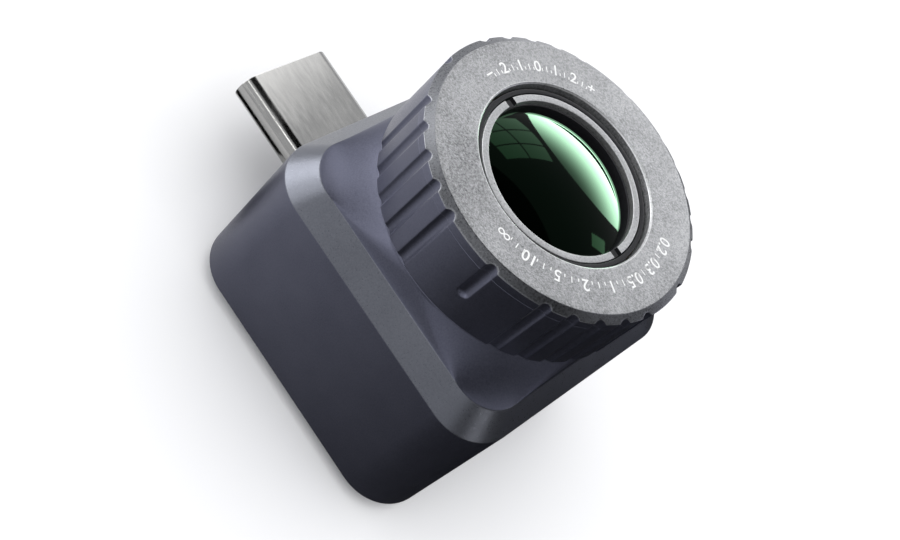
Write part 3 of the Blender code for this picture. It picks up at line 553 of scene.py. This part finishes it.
def groove_tools():
    """One cutter that holds every groove, with a soft lip and a rounded floor."""
    half = GROOVE_WIDTH / 2
    profile = [(half + 0.06, -0.2), (half + 0.045, 0.0), (half, 0.05), (half - 0.02, 0.17),
               (half - 0.07, 0.25), (half - 0.12, GROOVE_DEPTH)]
    shape = bmesh.new()
    count = int(12 / GROOVE_PITCH)
    for line in range(-count, count + 1):
        offset = (line + 0.5) * GROOVE_PITCH
        for start, end in groove_runs(offset):
            spot = (Matrix.Rotation(math.radians(45), 4, "Z")
                    @ Matrix.Translation((offset, (start + end) / 2, 0))
                    @ Matrix.Rotation(math.radians(90), 4, "Z"))
            rings = []
            for width, height in profile:
                reach = (end - start) / 2 - half + width
                loop = rounded_loop(reach, width, width - 0.001, height, 5)
                rings.append([shape.verts.new(spot @ Vector(point)) for point in loop])
            for lower, upper in zip(rings, rings[1:]):
                for index in range(len(lower)):
                    after = (index + 1) % len(lower)
                    shape.faces.new((lower[index], lower[after], upper[after], upper[index]))
            shape.faces.new(list(reversed(rings[0])))
            shape.faces.new(rings[-1])
    return mesh_object("groove_tool", shape)


def plate_sections(half_x, half_y, corner, low, high, edge, steps=3):
    """A flat plate whose upper and lower rims are softened."""
    inset = 4 * edge
    outline = filleted([(inset, low), (0.0, low), (0.0, high), (inset, high)], edge, steps, False)
    return [(half_x - step_in, half_y - step_in, corner - step_in, height)
            for step_in, height in outline]


def make_rear_cover():
    cover = loft("rear_cover_plate", plate_sections(COVER_HIGH.x, COVER_HIGH.y, COVER_CORNER, 0.0,
                                                    COVER_HIGH.z, 0.06), 14)
    cut(cover, groove_tools())
    gap = 0.1
    pocket = (BADGE_HIGH.x + gap, BADGE_HIGH.y + gap, BADGE_CORNER + gap)
    cut(cover, loft("badge_seat_tool", [(*pocket, -1.0), (*pocket, BADGE_HIGH.z + gap)]))
    for side in (-1, 1):
        spot = (side * 4.2, 0.0)
        cut(cover, rod("screw_head_tool", 1.1, 0.2, 0.85, spot, 32))
        cut(cover, rod("screw_hole_tool", 0.6, 0.2, 2.0, spot, 32))
    finish_piece(cover, "housing", SLATE, "slate_aluminium", "rear_cover")


def badge_ring_sections():
    outline = filleted([(0.0, 0.0), (0.0, BADGE_HIGH.z), (BADGE_EDGE, BADGE_HIGH.z),
                        (BADGE_EDGE, 0.0)], 0.03, 3)
    return [(BADGE_HIGH.x - inset, BADGE_HIGH.y - inset, BADGE_CORNER - inset, height)
            for inset, height in outline]


def print_plate(name, loops, low, high, material, slot, body="housing"):
    """Thin printed shapes, each a closed outline of (x, y) points, as one piece."""
    shape = bmesh.new()
    for loop in loops:
        lower = [shape.verts.new((x, y, low)) for x, y in loop]
        upper = [shape.verts.new((x, y, high)) for x, y in loop]
        for index in range(len(loop)):
            after = (index + 1) % len(loop)
            shape.faces.new((lower[index], lower[after], upper[after], upper[index]))
        shape.faces.new(list(reversed(lower)))
        shape.faces.new(upper)
    return finish_piece(mesh_object(name, shape), body, material, slot)


def bar(x, y, half_x, half_y):
    return [(x - half_x, y - half_y), (x + half_x, y - half_y), (x + half_x, y + half_y),
            (x - half_x, y + half_y)]


def disc(x, y, radius, steps=40):
    turn = [math.tau * index / steps for index in range(steps)]
    return [(x + radius * math.cos(angle), y + radius * math.sin(angle)) for angle in turn]


def make_badge():
    rim = loft("badge_rim", badge_ring_sections(), 12, closed=True)
    finish_piece(rim, "housing", CUT_SILVER, "silver_aluminium", "badge_frame")
    slip = BADGE_EDGE + 0.04
    face = 0.02
    plate = loft("badge_face", plate_sections(BADGE_HIGH.x - slip, BADGE_HIGH.y - slip,
                                              BADGE_CORNER - slip, face, BADGE_HIGH.z, 0.05), 12)
    finish_piece(plate, "housing", GLOSS, "badge_gloss", "badge_plate")
    make_badge_print(face)


def make_badge_print(face):
    """A generic mark: a red measuring spot, with a white level scale beside it."""
    print_plate("badge_spot_print", [disc(3.1, 0.0, 0.95)], face - 0.012, face, RED_PRINT,
                "badge_gloss")
    bars = []
    levels = 6
    for level in range(levels):
        height = 0.28 + 0.12 * level
        bars.append(bar(1.25 - 1.02 * level, 0.95 - height, 0.28, height))
    print_plate("badge_scale_print", bars, face - 0.012, face, WHITE_PRINT, "badge_gloss")


# ---- plug ------------------------------------------------------------------------------------
def make_plug():
    root = PLUG_LOW.y
    tip = PLUG_HIGH.y
    outline = [(0.0, root), (0.0, tip), (PLUG_WALL, tip), (PLUG_WALL, root)]
    outer = filleted(outline[:2] + [(PLUG_WALL / 2, tip)], 0.14, 5, False)
    inner = filleted([(PLUG_WALL / 2, tip)] + outline[2:], 0.05, 4, False)
    sections = [(PLUG_WIDTH / 2 - inset, PLUG_THICK / 2 - inset, PLUG_THICK / 2 - inset, height)
                for inset, height in outer + inner]
    sleeve = along_y(loft("plug_sleeve", sections, 16, 6, closed=True))
    finish_piece(sleeve, "housing", NICKEL, "nickel_steel", "plug_shell")
    make_collar()


def make_collar():
    low = COLLAR_LOW.y
    high = COLLAR_HIGH.y
    hole = (COLLAR_HIGH.x - COLLAR_LOW.x - PLUG_WIDTH) / 2 - 0.1
    step = ((COLLAR_HIGH.z - COLLAR_LOW.z) - PLUG_THICK) / 2 - 0.1
    width = COLLAR_HIGH.x
    thick = (COLLAR_HIGH.z - COLLAR_LOW.z) / 2
    outer = filleted([(0.0, low), (0.0, high), (0.6, high)], 0.25, 6, False)
    sections = [(width - inset, thick - inset, thick - inset, height) for inset, height in outer]
    for height in (high, high - 0.05, low):
        slack = 0.05 if height == high else 0.0
        sections.append((width - hole + slack, thick - step + slack, thick - step + slack, height))
    collar = along_y(loft("plug_collar_moulding", sections, 14, 6, closed=True))
    finish_piece(collar, "housing", COLLAR, "collar_plastic", "plug_collar")


# ---- focus ring ------------------------------------------------------------------------------
def flute_kind(position):
    """thumb for a short groove, plain for the smooth land beside it, full for a flute."""
    place = position % PANEL
    if place == 0:
        return "thumb"
    return "plain" if place in (1, PANEL - 1) else "full"


def ring_angles():
    """Angles round the ring, close together across each flute."""
    half = math.sqrt(FLUTE_RADIUS ** 2 - (FLUTE_CENTRE - RING_RADIUS) ** 2)
    inside = half * np.array([0.0, 0.25, 0.48, 0.68, 0.84, 0.94])
    lip = half + np.array([0.0, 0.02, 0.045, 0.08, 0.14])
    near = np.concatenate([inside, lip, [0.8]])
    near = np.unique(np.concatenate([-near, near]))
    wide = np.array([-0.8, -0.4, 0.0, 0.4, 0.8])
    angles = []
    for position in range(FLUTE_POSITIONS):
        centre = FLUTE_PHASE + math.tau * position / FLUTE_POSITIONS
        offsets = wide if flute_kind(position) == "plain" else near
        angles.extend(centre + offsets / RING_RADIUS)
    return np.array(angles)


def cut_depth(angles, radius, height):
    """How far a row of the ring stands out once the flutes and thumb grooves are cut."""
    soft = 0.07
    result = np.full(len(angles), float(radius))
    for position in range(FLUTE_POSITIONS):
        kind = flute_kind(position)
        if kind == "plain":
            continue
        centre = FLUTE_PHASE + math.tau * position / FLUTE_POSITIONS
        below = max(0.0, THUMB_GROOVE_END - height) if kind == "thumb" else 0.0
        turn = (angles - centre + math.pi) % math.tau - math.pi
        near = np.abs(turn) * RING_RADIUS < 3 * FLUTE_RADIUS
        offset = turn[near]
        low = np.full(len(offset), RING_RADIUS - 2 * FLUTE_DEPTH)
        high = np.full(len(offset), RING_RADIUS + 0.1)
        for _ in range(26):
            middle = (low + high) / 2
            gap = np.sqrt((middle * np.sin(offset)) ** 2
                          + (middle * np.cos(offset) - FLUTE_CENTRE) ** 2 + below ** 2)
            first = middle - radius
            second = FLUTE_RADIUS - gap
            blend = np.maximum(soft - np.abs(first - second), 0) / soft
            outside = np.maximum(first, second) + blend ** 2 * soft / 4 > 0
            high = np.where(outside, middle, high)
            low = np.where(outside, low, middle)
        result[near] = np.minimum(result[near], low)
    return result


def ring_piece(name, rows, angles):
    """A turned ring. Each row is a radius, a height, and whether the flutes cut it."""
    loops = []
    for radius, height, fluted in rows:
        reach = cut_depth(angles, radius, height) if fluted else np.full(len(angles), float(radius))
        loops.append(np.column_stack([reach * np.cos(angles), reach * np.sin(angles),
                                      np.full(len(angles), height)]))
    return skin(name, loops, closed=True)


def grip_rows():
    back = RING_LOW.z
    front = RING_HIGH.z
    bore = 9.0
    outer = filleted([(bore + 0.3, back), (RING_RADIUS - 0.15, back), (RING_RADIUS, back + 0.15),
                      (RING_RADIUS, front - 0.3)], 0.05, 3, False)[1:-1]
    outer += [(RING_RADIUS, front - SEAM_BREAK), (RING_RADIUS - SEAM_BREAK, front)]
    heights = list(np.linspace(THUMB_GROOVE_END - FLUTE_RADIUS, THUMB_GROOVE_END, 15))
    heights += [THUMB_GROOVE_END + 0.6, THUMB_GROOVE_END + 1.4]
    rising = [(radius, height, True) for radius, height in outer]
    split = [index for index, row in enumerate(rising) if row[1] < THUMB_GROOVE_END - 1][-1] + 1
    middle = [(RING_RADIUS, height, True) for height in heights]
    inner = [(bore, front), (bore, 19.75), (9.4, 19.75), (9.4, 18.85), (bore, 18.85),
             (bore, 18.6), (9.35, 18.6), (9.35, 18.0), (bore, 18.0), (bore, back)]
    return rising[:split] + middle + rising[split:] + [(*point, False) for point in inner]


def bezel_rows():
    back = RING_HIGH.z + SEAM_BREAK
    face = BEZEL_FACE
    shoulder = face - BEZEL_RIM_DROP
    outer = [(RING_RADIUS - 0.8, back), (RING_RADIUS - SEAM_BREAK, back),
             (RING_RADIUS, back + SEAM_BREAK)]
    outer += filleted([(RING_RADIUS, back + 0.1), (RING_RADIUS, shoulder), (BEZEL_FACE_RADIUS, face),
                       (BEZEL_FACE_RADIUS - 0.4, face)], 0.045, 3, False)[1:]
    chamfer = [index for index, point in enumerate(outer) if point[1] <= shoulder + 0.06][-1] + 1
    slope = [(RING_RADIUS - (RING_RADIUS - BEZEL_FACE_RADIUS) * share,
              shoulder + BEZEL_RIM_DROP * share) for share in np.linspace(0.2, 0.9, 8)]
    rows = [(radius, height, True) for radius, height in outer[:chamfer] + slope + outer[chamfer:]]
    hole = filleted([(BEZEL_HOLE + 0.5, face), (BEZEL_HOLE + 0.1, face), (BEZEL_HOLE, face - 0.1),
                     (BEZEL_HOLE, back), (BEZEL_HOLE + 0.5, back)], 0.02, 2, False)
    across = [(radius, face, False) for radius in (8.6, 7.9, 7.3)]
    return rows + across + [(*point, False) for point in hole]


def make_focus_ring():
    angles = ring_angles()
    grip = ring_piece("focus_grip", grip_rows(), angles)
    finish_piece(grip, "focus_ring", SLATE, "slate_aluminium", "grip_ring")
    bezel = ring_piece("bezel_ring", bezel_rows(), angles)
    finish_piece(bezel, "focus_ring", SILVER, "silver_aluminium", "front_bezel")
    bezel.data.materials.append(CUT_SILVER)
    bezel.data.materials.append(SLATE)
    bezel.data.materials.append(RING_SILVER)
    face = BEZEL_FACE * MM
    for polygon in bezel.data.polygons:
        reach = math.hypot(polygon.center.x, polygon.center.y) / MM
        if reach < BEZEL_HOLE + 0.12:
            polygon.material_index = 3 if polygon.center.z > face - 0.14 * MM else 0
        elif polygon.normal.z < 0.25:
            polygon.material_index = 2
        elif reach > BEZEL_FACE_RADIUS - 0.12 and polygon.normal.z < 0.985:
            polygon.material_index = 1
    make_scale_marks()


def glyph_mesh(text, height):
    """The outline of a numeral as a thin solid, thickened unless its outline is too fine for it."""
    curve = bpy.data.curves.new("glyph", "FONT")
    curve.body = text
    curve.size = 1.0
    curve.align_x = "CENTER"
    curve.extrude = PRINT_HEIGHT / 2
    curve.offset = 0.0 if text == INFINITY_SIGN else 0.012
    curve.resolution_u = 6
    item = bpy.data.objects.new("glyph", curve)
    bpy.context.scene.collection.objects.link(item)
    bpy.context.view_layer.update()
    mesh = bpy.data.meshes.new_from_object(item.evaluated_get(bpy.context.evaluated_depsgraph_get()))
    bpy.data.objects.remove(item, do_unlink=True)
    top = max(vert.co.y for vert in mesh.vertices)
    scale = height / 0.7
    mesh.transform(Matrix.Diagonal((scale, scale, 1.0, 1.0)))
    return mesh, top * scale


def make_scale_marks():
    """White focus scales on the bezel: distances below, and plus and minus marks above."""
    shape = bmesh.new()
    face = BEZEL_FACE
    baseline = 7.38
    lower = ["0.2", "0.3", "0.5", "1", "2", "5", "10", INFINITY_SIGN]
    upper = ["\u2212", "2", "1", "0", "1", "2", "+"]
    for labels, start, end in ((lower, 296.0, 190.0), (upper, 95.0, 32.0)):
        for index, label in enumerate(labels):
            angle = math.radians(start + (end - start) * index / (len(labels) - 1))
            add_glyph(shape, label, 0.78, baseline, angle, face)
        gaps = (len(labels) - 1) * 4
        for index in range(gaps + 1):
            if index % 4 == 0:
                continue
            angle = math.radians(start + (end - start) * index / gaps)
            length = 0.42 if index % 4 == 2 else 0.22
            add_tick(shape, baseline + 0.05, length, angle, face)
    marks = mesh_object("focus_scale_print", shape)
    finish_piece(marks, "focus_ring", WHITE_PRINT, "silver_aluminium")


def add_glyph(shape, label, height, baseline, angle, face):
    mesh, _ = glyph_mesh(label, height)
    spot = (Matrix.Rotation(angle - math.radians(90), 4, "Z")
            @ Matrix.Translation((0, baseline, face + PRINT_HEIGHT / 2)))
    mesh.transform(spot)
    shape.from_mesh(mesh)
    bpy.data.meshes.remove(mesh)


def add_tick(shape, start, length, angle, face):
    made = bmesh.ops.create_cube(shape, size=1.0)["verts"]
    spot = (Matrix.Rotation(angle - math.radians(90), 4, "Z")
            @ Matrix.Translation((0, start + length / 2, face + PRINT_HEIGHT / 2))
            @ Matrix.Diagonal((0.07, length, PRINT_HEIGHT, 1.0)))
    bmesh.ops.transform(shape, matrix=spot, verts=made)


# ---- lens ------------------------------------------------------------------------------------
def dome(centre, radius, start, end, count):
    """Points on a sphere's outline about Z, from one distance off the axis to another."""
    return [(distance, centre + math.sqrt(radius ** 2 - distance ** 2))
            for distance in np.linspace(start, end, count)]


def make_lens():
    seat = 18.7
    edge = 5.3
    low = 20.55
    front_centre = low - math.sqrt(12.8 ** 2 - edge ** 2)
    hollow_centre = seat - math.sqrt(18.0 ** 2 - 4.5 ** 2)
    outline = dome(front_centre, 12.8, 0.0, edge + 0.25, 27)
    low = outline[-1][1]
    outline += filleted([(edge, low), (5.85, low), (5.85, seat), (4.5, seat)], 0.05, 3, False)[1:-1]
    outline += dome(hollow_centre, 18.0, 4.5, 0.0, 12)
    glass = skin("lens_dome", [circle(radius, height, 128) for radius, height in outline], cap=False)
    finish_piece(glass, "lens_cell", LENS, "coated_lens", "front_lens")

    ring_high = span("retaining_ring")[1].z
    ring = lathe("lens_retaining_ring", [(5.92, ring_high), (5.92, 21.55), (5.45, 21.55),
                                         (5.45, ring_high)], 224, 0.05, 4)
    for side in (-1, 1):
        notch = loft("notch_tool", [(0.38, 0.8, 0.06, 21.67), (0.38, 0.8, 0.06, 23.0)], 4)
        notch.data.transform(Matrix.Translation((0, side * 5.7 * MM, 0)))
        cut(ring, notch)
    finish_piece(ring, "lens_cell", RING_SILVER, "silver_aluminium", "retaining_ring")
    # The notch floors take black metal: painted shade standing in for the dark depth of the notches.
    ring.data.materials.append(BLACK_METAL)
    for polygon in ring.data.polygons:
        painted_dark_notch = abs(polygon.center.x) < 0.385 * MM and polygon.center.z < ring_high * MM - 0.02 * MM
        if painted_dark_notch:
            polygon.material_index = 1

    spacer = lathe("lens_spacer_sleeve", [(5.9, 21.48), (5.9, 20.65), (5.42, 20.65),
                                          (5.42, 21.48)], 128)
    finish_piece(spacer, "lens_cell", BLACK_METAL, "black_aluminium", "lens_spacer")

    barrel_high = span("lens_barrel")[1].z
    barrel = lathe("lens_barrel_body", [
        (6.3, barrel_high), (6.3, 20.0), (7.6, 20.0), (7.6, 13.3), (5.3, 13.3), (5.3, 15.9),
        (4.6, 15.9), (4.6, 18.6), (6.0, 18.6), (6.0, barrel_high)], 160, 0.04)
    for side in (-1, 1):
        keyway = loft("keyway_tool", [(0.7, 0.65, 0.05, 12.3), (0.7, 0.65, 0.05, 21.0)], 3)
        keyway.data.transform(Matrix.Translation((side * 7.75 * MM, 0, 0)))
        cut(barrel, keyway)
    finish_piece(barrel, "lens_cell", BLACK_METAL, "black_aluminium", "lens_barrel")


# ---- CAD nodes that stay ---------------------------------------------------------------------
KEPT = {
    "cover_gasket": RUBBER, "plug_gasket": RUBBER, "ring_seal": RUBBER,
    "cover_screw_1": STEEL, "cover_screw_2": STEEL, "board_screw_1": STEEL,
    "board_screw_2": STEEL, "board_screw_3": STEEL, "board_screw_4": STEEL,
    "sensor_screw_1": STEEL, "sensor_screw_2": STEEL, "sensor_screw_3": STEEL,
    "shield_can": STEEL, "shutter_motor": STEEL, "stop_pin": STEEL, "ring_clip": STEEL,
    "stop_lug": STEEL, "inner_frame": BLACK, "shutter_frame": BLACK, "shutter_blade": BLACK_METAL,
    "rear_lens_ring": BLACK_METAL, "plug_insulator": BLACK, "main_board": BOARD,
    "sensor_board": BOARD, "processor_chip": CHIP, "memory_chip": CHIP, "power_chip": CHIP,
    "power_inductor": CHIP, "board_connector": COLLAR, "flex_cable": POLYIMIDE,
    "heat_spreader": COPPER, "thermal_pad": PAD, "detector_package": CERAMIC,
    "detector_window": WINDOW, "plug_contacts_lower": GOLD, "plug_contacts_upper": GOLD,
    "guide_key_left": BRASS, "guide_key_right": BRASS, "helicoid_ring": BRASS, "rear_lens": LENS,
}


def dress_kept_nodes():
    """CAD nodes keep their shape, and get softened edges and a material of their own."""
    for name, material in KEPT.items():
        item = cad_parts[name]
        item.data.materials.clear()
        item.data.materials.append(material)
        join = item.modifiers.new("join_faces", "WELD")
        join.merge_threshold = 0.001 * MM
        soften = item.modifiers.new("soft_edges", "BEVEL")
        soften.width = 0.03 * MM
        soften.segments = 2
        soften.limit_method = "ANGLE"
        soften.angle_limit = math.radians(40)
        item.data.shade_smooth()
        weighted = item.modifiers.new("flat_faces", "WEIGHTED_NORMAL")
        weighted.weight = 100


# ---- stage -----------------------------------------------------------------------------------
def plane(name, size_x, size_y, where, normal=(0, 0, 1)):
    shape = bmesh.new()
    bmesh.ops.create_grid(shape, x_segments=1, y_segments=1, size=0.5)
    bmesh.ops.scale(shape, vec=(size_x, size_y, 1), verts=shape.verts)
    item = mesh_object(name, shape)
    item.location = Vector(where) * MM
    item.rotation_mode = "QUATERNION"
    item.rotation_quaternion = Vector(normal).to_track_quat("Z", "Y")
    return item


def make_floor():
    floor = plane("floor", 3000, 3000, (0, 0, -0.02))
    made = Shade("floor_finish", Roughness=0.85)
    made.colour(made.mixed(made.noise(0.02, 3.0), (0.87, 0.87, 0.875), (0.9, 0.9, 0.9)))
    floor.data.materials.append(made.material)


def area_light(name, where, aim, width, height, radiance, colour=(1.0, 1.0, 1.0), only=None,
               across=None, fade=None):
    """A soft box with a given brightness, facing a point."""
    light = bpy.data.lights.new(name, "AREA")
    light.shape = "RECTANGLE"
    light.size = width * MM
    light.size_y = height * MM
    light.energy = radiance * math.pi * width * height * MM * MM
    light.color = colour
    item = bpy.data.objects.new(name, light)
    bpy.context.scene.collection.objects.link(item)
    away = (Vector(where) - Vector(aim)).normalized()
    side = Vector(across) if across else Vector((0, 0, 1)).cross(away)
    side = (side - away * side.dot(away)).normalized()
    turn = Matrix((side, away.cross(side), away)).transposed().to_4x4()
    item.matrix_world = Matrix.Translation(Vector(where) * MM) @ turn
    item.visible_camera = False
    if only is not None:
        item.light_linking.receiver_collection = only
    if fade is not None:
        fade_light(light, fade)
    return item


def fade_light(light, fade):
    """Change brightness along a soft box's height: from share, to share, and both strengths."""
    light.use_nodes = True
    tree = light.node_tree
    place = tree.nodes.new("ShaderNodeNewGeometry")
    parts = tree.nodes.new("ShaderNodeSeparateXYZ")
    ramp = tree.nodes.new("ShaderNodeMapRange")
    ramp.interpolation_type = "SMOOTHSTEP"
    for key, value in zip(("From Min", "From Max", "To Min", "To Max"), fade):
        ramp.inputs[key].default_value = value
    tree.links.new(place.outputs["Parametric"], parts.inputs[0])
    tree.links.new(parts.outputs["Y"], ramp.inputs["Value"])
    tree.links.new(ramp.outputs["Result"], tree.nodes["Emission"].inputs["Strength"])


def shade_card(name, size_x, size_y, where, normal, share=1.0, fade=None):
    """A dark card that only reflections see, fading out along the world's Y if asked."""
    card = plane(name, size_x, size_y, where, normal)
    material = bpy.data.materials.new(name + "_finish")
    material.use_nodes = True
    tree = material.node_tree
    tree.nodes.clear()
    black = tree.nodes.new("ShaderNodeBsdfDiffuse")
    black.inputs["Color"].default_value = (0.0, 0.0, 0.0, 1.0)
    clear = tree.nodes.new("ShaderNodeBsdfTransparent")
    mix = tree.nodes.new("ShaderNodeMixShader")
    mix.inputs[0].default_value = share
    out = tree.nodes.new("ShaderNodeOutputMaterial")
    tree.links.new(clear.outputs[0], mix.inputs[1])
    tree.links.new(black.outputs[0], mix.inputs[2])
    tree.links.new(mix.outputs[0], out.inputs[0])
    if fade is not None:
        spot = tree.nodes.new("ShaderNodeNewGeometry")
        parts = tree.nodes.new("ShaderNodeSeparateXYZ")
        span_node = tree.nodes.new("ShaderNodeMapRange")
        span_node.interpolation_type = "SMOOTHSTEP"
        span_node.inputs["From Min"].default_value = fade[0] * MM
        span_node.inputs["From Max"].default_value = fade[1] * MM
        tree.links.new(spot.outputs["Position"], parts.inputs[0])
        tree.links.new(parts.outputs["Y"], span_node.inputs["Value"])
        tree.links.new(span_node.outputs["Result"], mix.inputs[0])
    card.data.materials.append(material)
    card.visible_camera = False
    card.visible_diffuse = False
    card.visible_shadow = False
    card.visible_transmission = False


def make_lights():
    world = bpy.data.worlds.new("studio")
    bpy.context.scene.world = world
    world.use_nodes = True
    world.node_tree.nodes["Background"].inputs["Color"].default_value = (0.96, 0.97, 1.0, 1.0)
    world.node_tree.nodes["Background"].inputs["Strength"].default_value = 0.8
    lens = bpy.data.objects["lens_dome"]
    plug = bpy.data.objects["plug_sleeve"]
    floor = bpy.data.objects["floor"]
    rest = receivers("general_light_receivers", [lens, floor], "EXCLUDE")
    not_plug = receivers("high_light_receivers", [lens, plug, floor], "EXCLUDE")
    plug_only = receivers("plug_light_receivers", [plug], "INCLUDE")
    floor_light(receivers("floor_light_receivers", [floor], "INCLUDE"))
    area_light("key", (-60, 210, 60), (0, 0, 8), 160, 110, 4.6, only=rest)
    area_light("top", (40, 120, 190), (0, 0, 12), 140, 140, 2.0, only=not_plug)
    area_light("rim", (190, 20, 60), (0, 0, 14), 190, 90, 2.2, only=not_plug)
    area_light("side", (-150, 120, 60), (0, 0, 8), 90, 70, 2.8, only=rest)
    area_light("bend", (-36, -136, 46), (0, 0, 12), 56, 34, 1.6, only=rest)
    area_light("low_side", (96, -104, 24), (0, 0, 12), 60, 40, 1.5, (0.86, 0.86, 1.0), rest)
    area_light("streak", (-150, 22, 205), (0, 0, 8), 12, 150, 7.0, only=rest, across=(1, 0, 0.7))
    area_light("plug_sheen", (40, 60, 51), (0, 16, 7), 60, 70, 3.0, only=plug_only, across=(1, 0, -1),
               fade=(0.0, 0.3, 0.0, 1.0))
    make_bezel_light()
    make_lens_lights()
    shade_card("shade_floor", 600, 600, (0, 0, 0.01), (0, 0, 1), fade=(26, -16))
    shade_card("shade_side", 400, 160, (0, -150, 70), (0, 1, 0), 0.8)
    shade_card("shade_top", 100, 260, (-8, -50, 150), (0, 0, -1))
    shade_card("shade_plug", 6, 7, (-7.5, 18, 0.02), (0, 0, 1))


def floor_light(group):
    """Even light on the floor from overhead, soft enough to leave only a contact shadow."""
    light = bpy.data.lights.new("floor_wash", "SUN")
    light.energy = 1.7
    light.angle = math.radians(100)
    item = bpy.data.objects.new("floor_wash", light)
    bpy.context.scene.collection.objects.link(item)
    item.light_linking.receiver_collection = group


def receivers(name, objects, state):
    """A light-linking group that takes in, or leaves out, a few objects."""
    group = bpy.data.collections.new(name)
    for item in objects:
        group.objects.link(item)
    for member in group.collection_objects:
        member.light_linking.link_state = state
    return group


def make_bezel_light():
    """A soft sheen across the bezel, stronger towards its far side."""
    bezel_only = receivers("bezel_light_receivers", [bpy.data.objects["bezel_ring"]], "INCLUDE")
    middle = Vector((0, 0, 22))
    where = middle + Vector((0.678, 0.089, 0.73)) * 75 + Vector((0.64, -0.1, 0.1)) * 45
    area_light("bezel_sheen", where, middle, 50, 50, 2.6, only=bezel_only)


def make_lens_lights():
    """A broad glow and a six-pane window that only the lens reflects."""
    lens_only = receivers("lens_light_receivers", [bpy.data.objects["lens_dome"]], "INCLUDE")
    for name in ("lens_spacer_sleeve", "lens_retaining_ring", "lens_barrel_body", "bezel_ring",
                 "focus_grip", "focus_scale_print"):
        bpy.data.objects[name].visible_glossy = False
    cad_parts["helicoid_ring"].visible_glossy = False
    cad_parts["stop_lug"].visible_glossy = False
    middle = Vector((0, 0, 21))
    glow = area_light("lens_glow", (160, 17, 38), middle, 130, 156, 26.0, (0.6, 1.0, 0.7), lens_only,
                      fade=(0.5, 1.0, 1.0, 0.15))
    glow.data.shape = "ELLIPSE"
    aim = Vector((0.588, 0.482, 0.65)).normalized()
    across = Vector((0.107, -0.065, -0.0495))
    across = (across - aim * across.dot(aim)).normalized()
    down = aim.cross(across)
    centre = middle + aim * 200 + across * 16 + down * 26
    for row in (-1, 0, 1):
        for column in (-0.5, 0.5):
            where = centre + across * 50 * column + down * 34 * row
            area_light("window_pane", where, where - aim, 47, 31, 5.0, (0.55, 1.0, 0.65), lens_only,
                       across)
    low_aim = Vector((0.78, -0.41, 0.47))
    where = middle + low_aim * 200
    area_light("low_pane", where, middle, 20, 40, 8.0, (0.5, 1.0, 0.6), lens_only)


def make_camera():
    azimuth = math.radians(-82.55)
    elevation = math.radians(46.86)
    roll = math.radians(50.16)
    back = Vector((math.sin(azimuth) * math.cos(elevation), -math.cos(azimuth) * math.cos(elevation),
                   math.sin(elevation)))
    level = Vector((0, 0, 1)).cross(back).normalized()
    upright = back.cross(level)
    right = level * math.cos(roll) + upright * math.sin(roll)
    up = upright * math.cos(roll) - level * math.sin(roll)
    data = bpy.data.cameras.new("camera")
    data.lens = 59.1
    data.clip_start = 0.002
    data.clip_end = 10.0
    camera = bpy.data.objects.new("camera", data)
    bpy.context.scene.collection.objects.link(camera)
    spot = (Vector((0, 0, 13)) + back * 97.6 - right * 2.25 - up * 1.8) * MM
    camera.matrix_world = Matrix.Translation(spot) @ Matrix((right, up, back)).transposed().to_4x4()
    bpy.context.scene.camera = camera


make_camera()
make_housing()
make_rear_cover()
make_badge()
make_plug()
make_focus_ring()
make_lens()
dress_kept_nodes()
make_floor()
make_lights()
bpy.context.scene.view_settings.view_transform = "Standard"
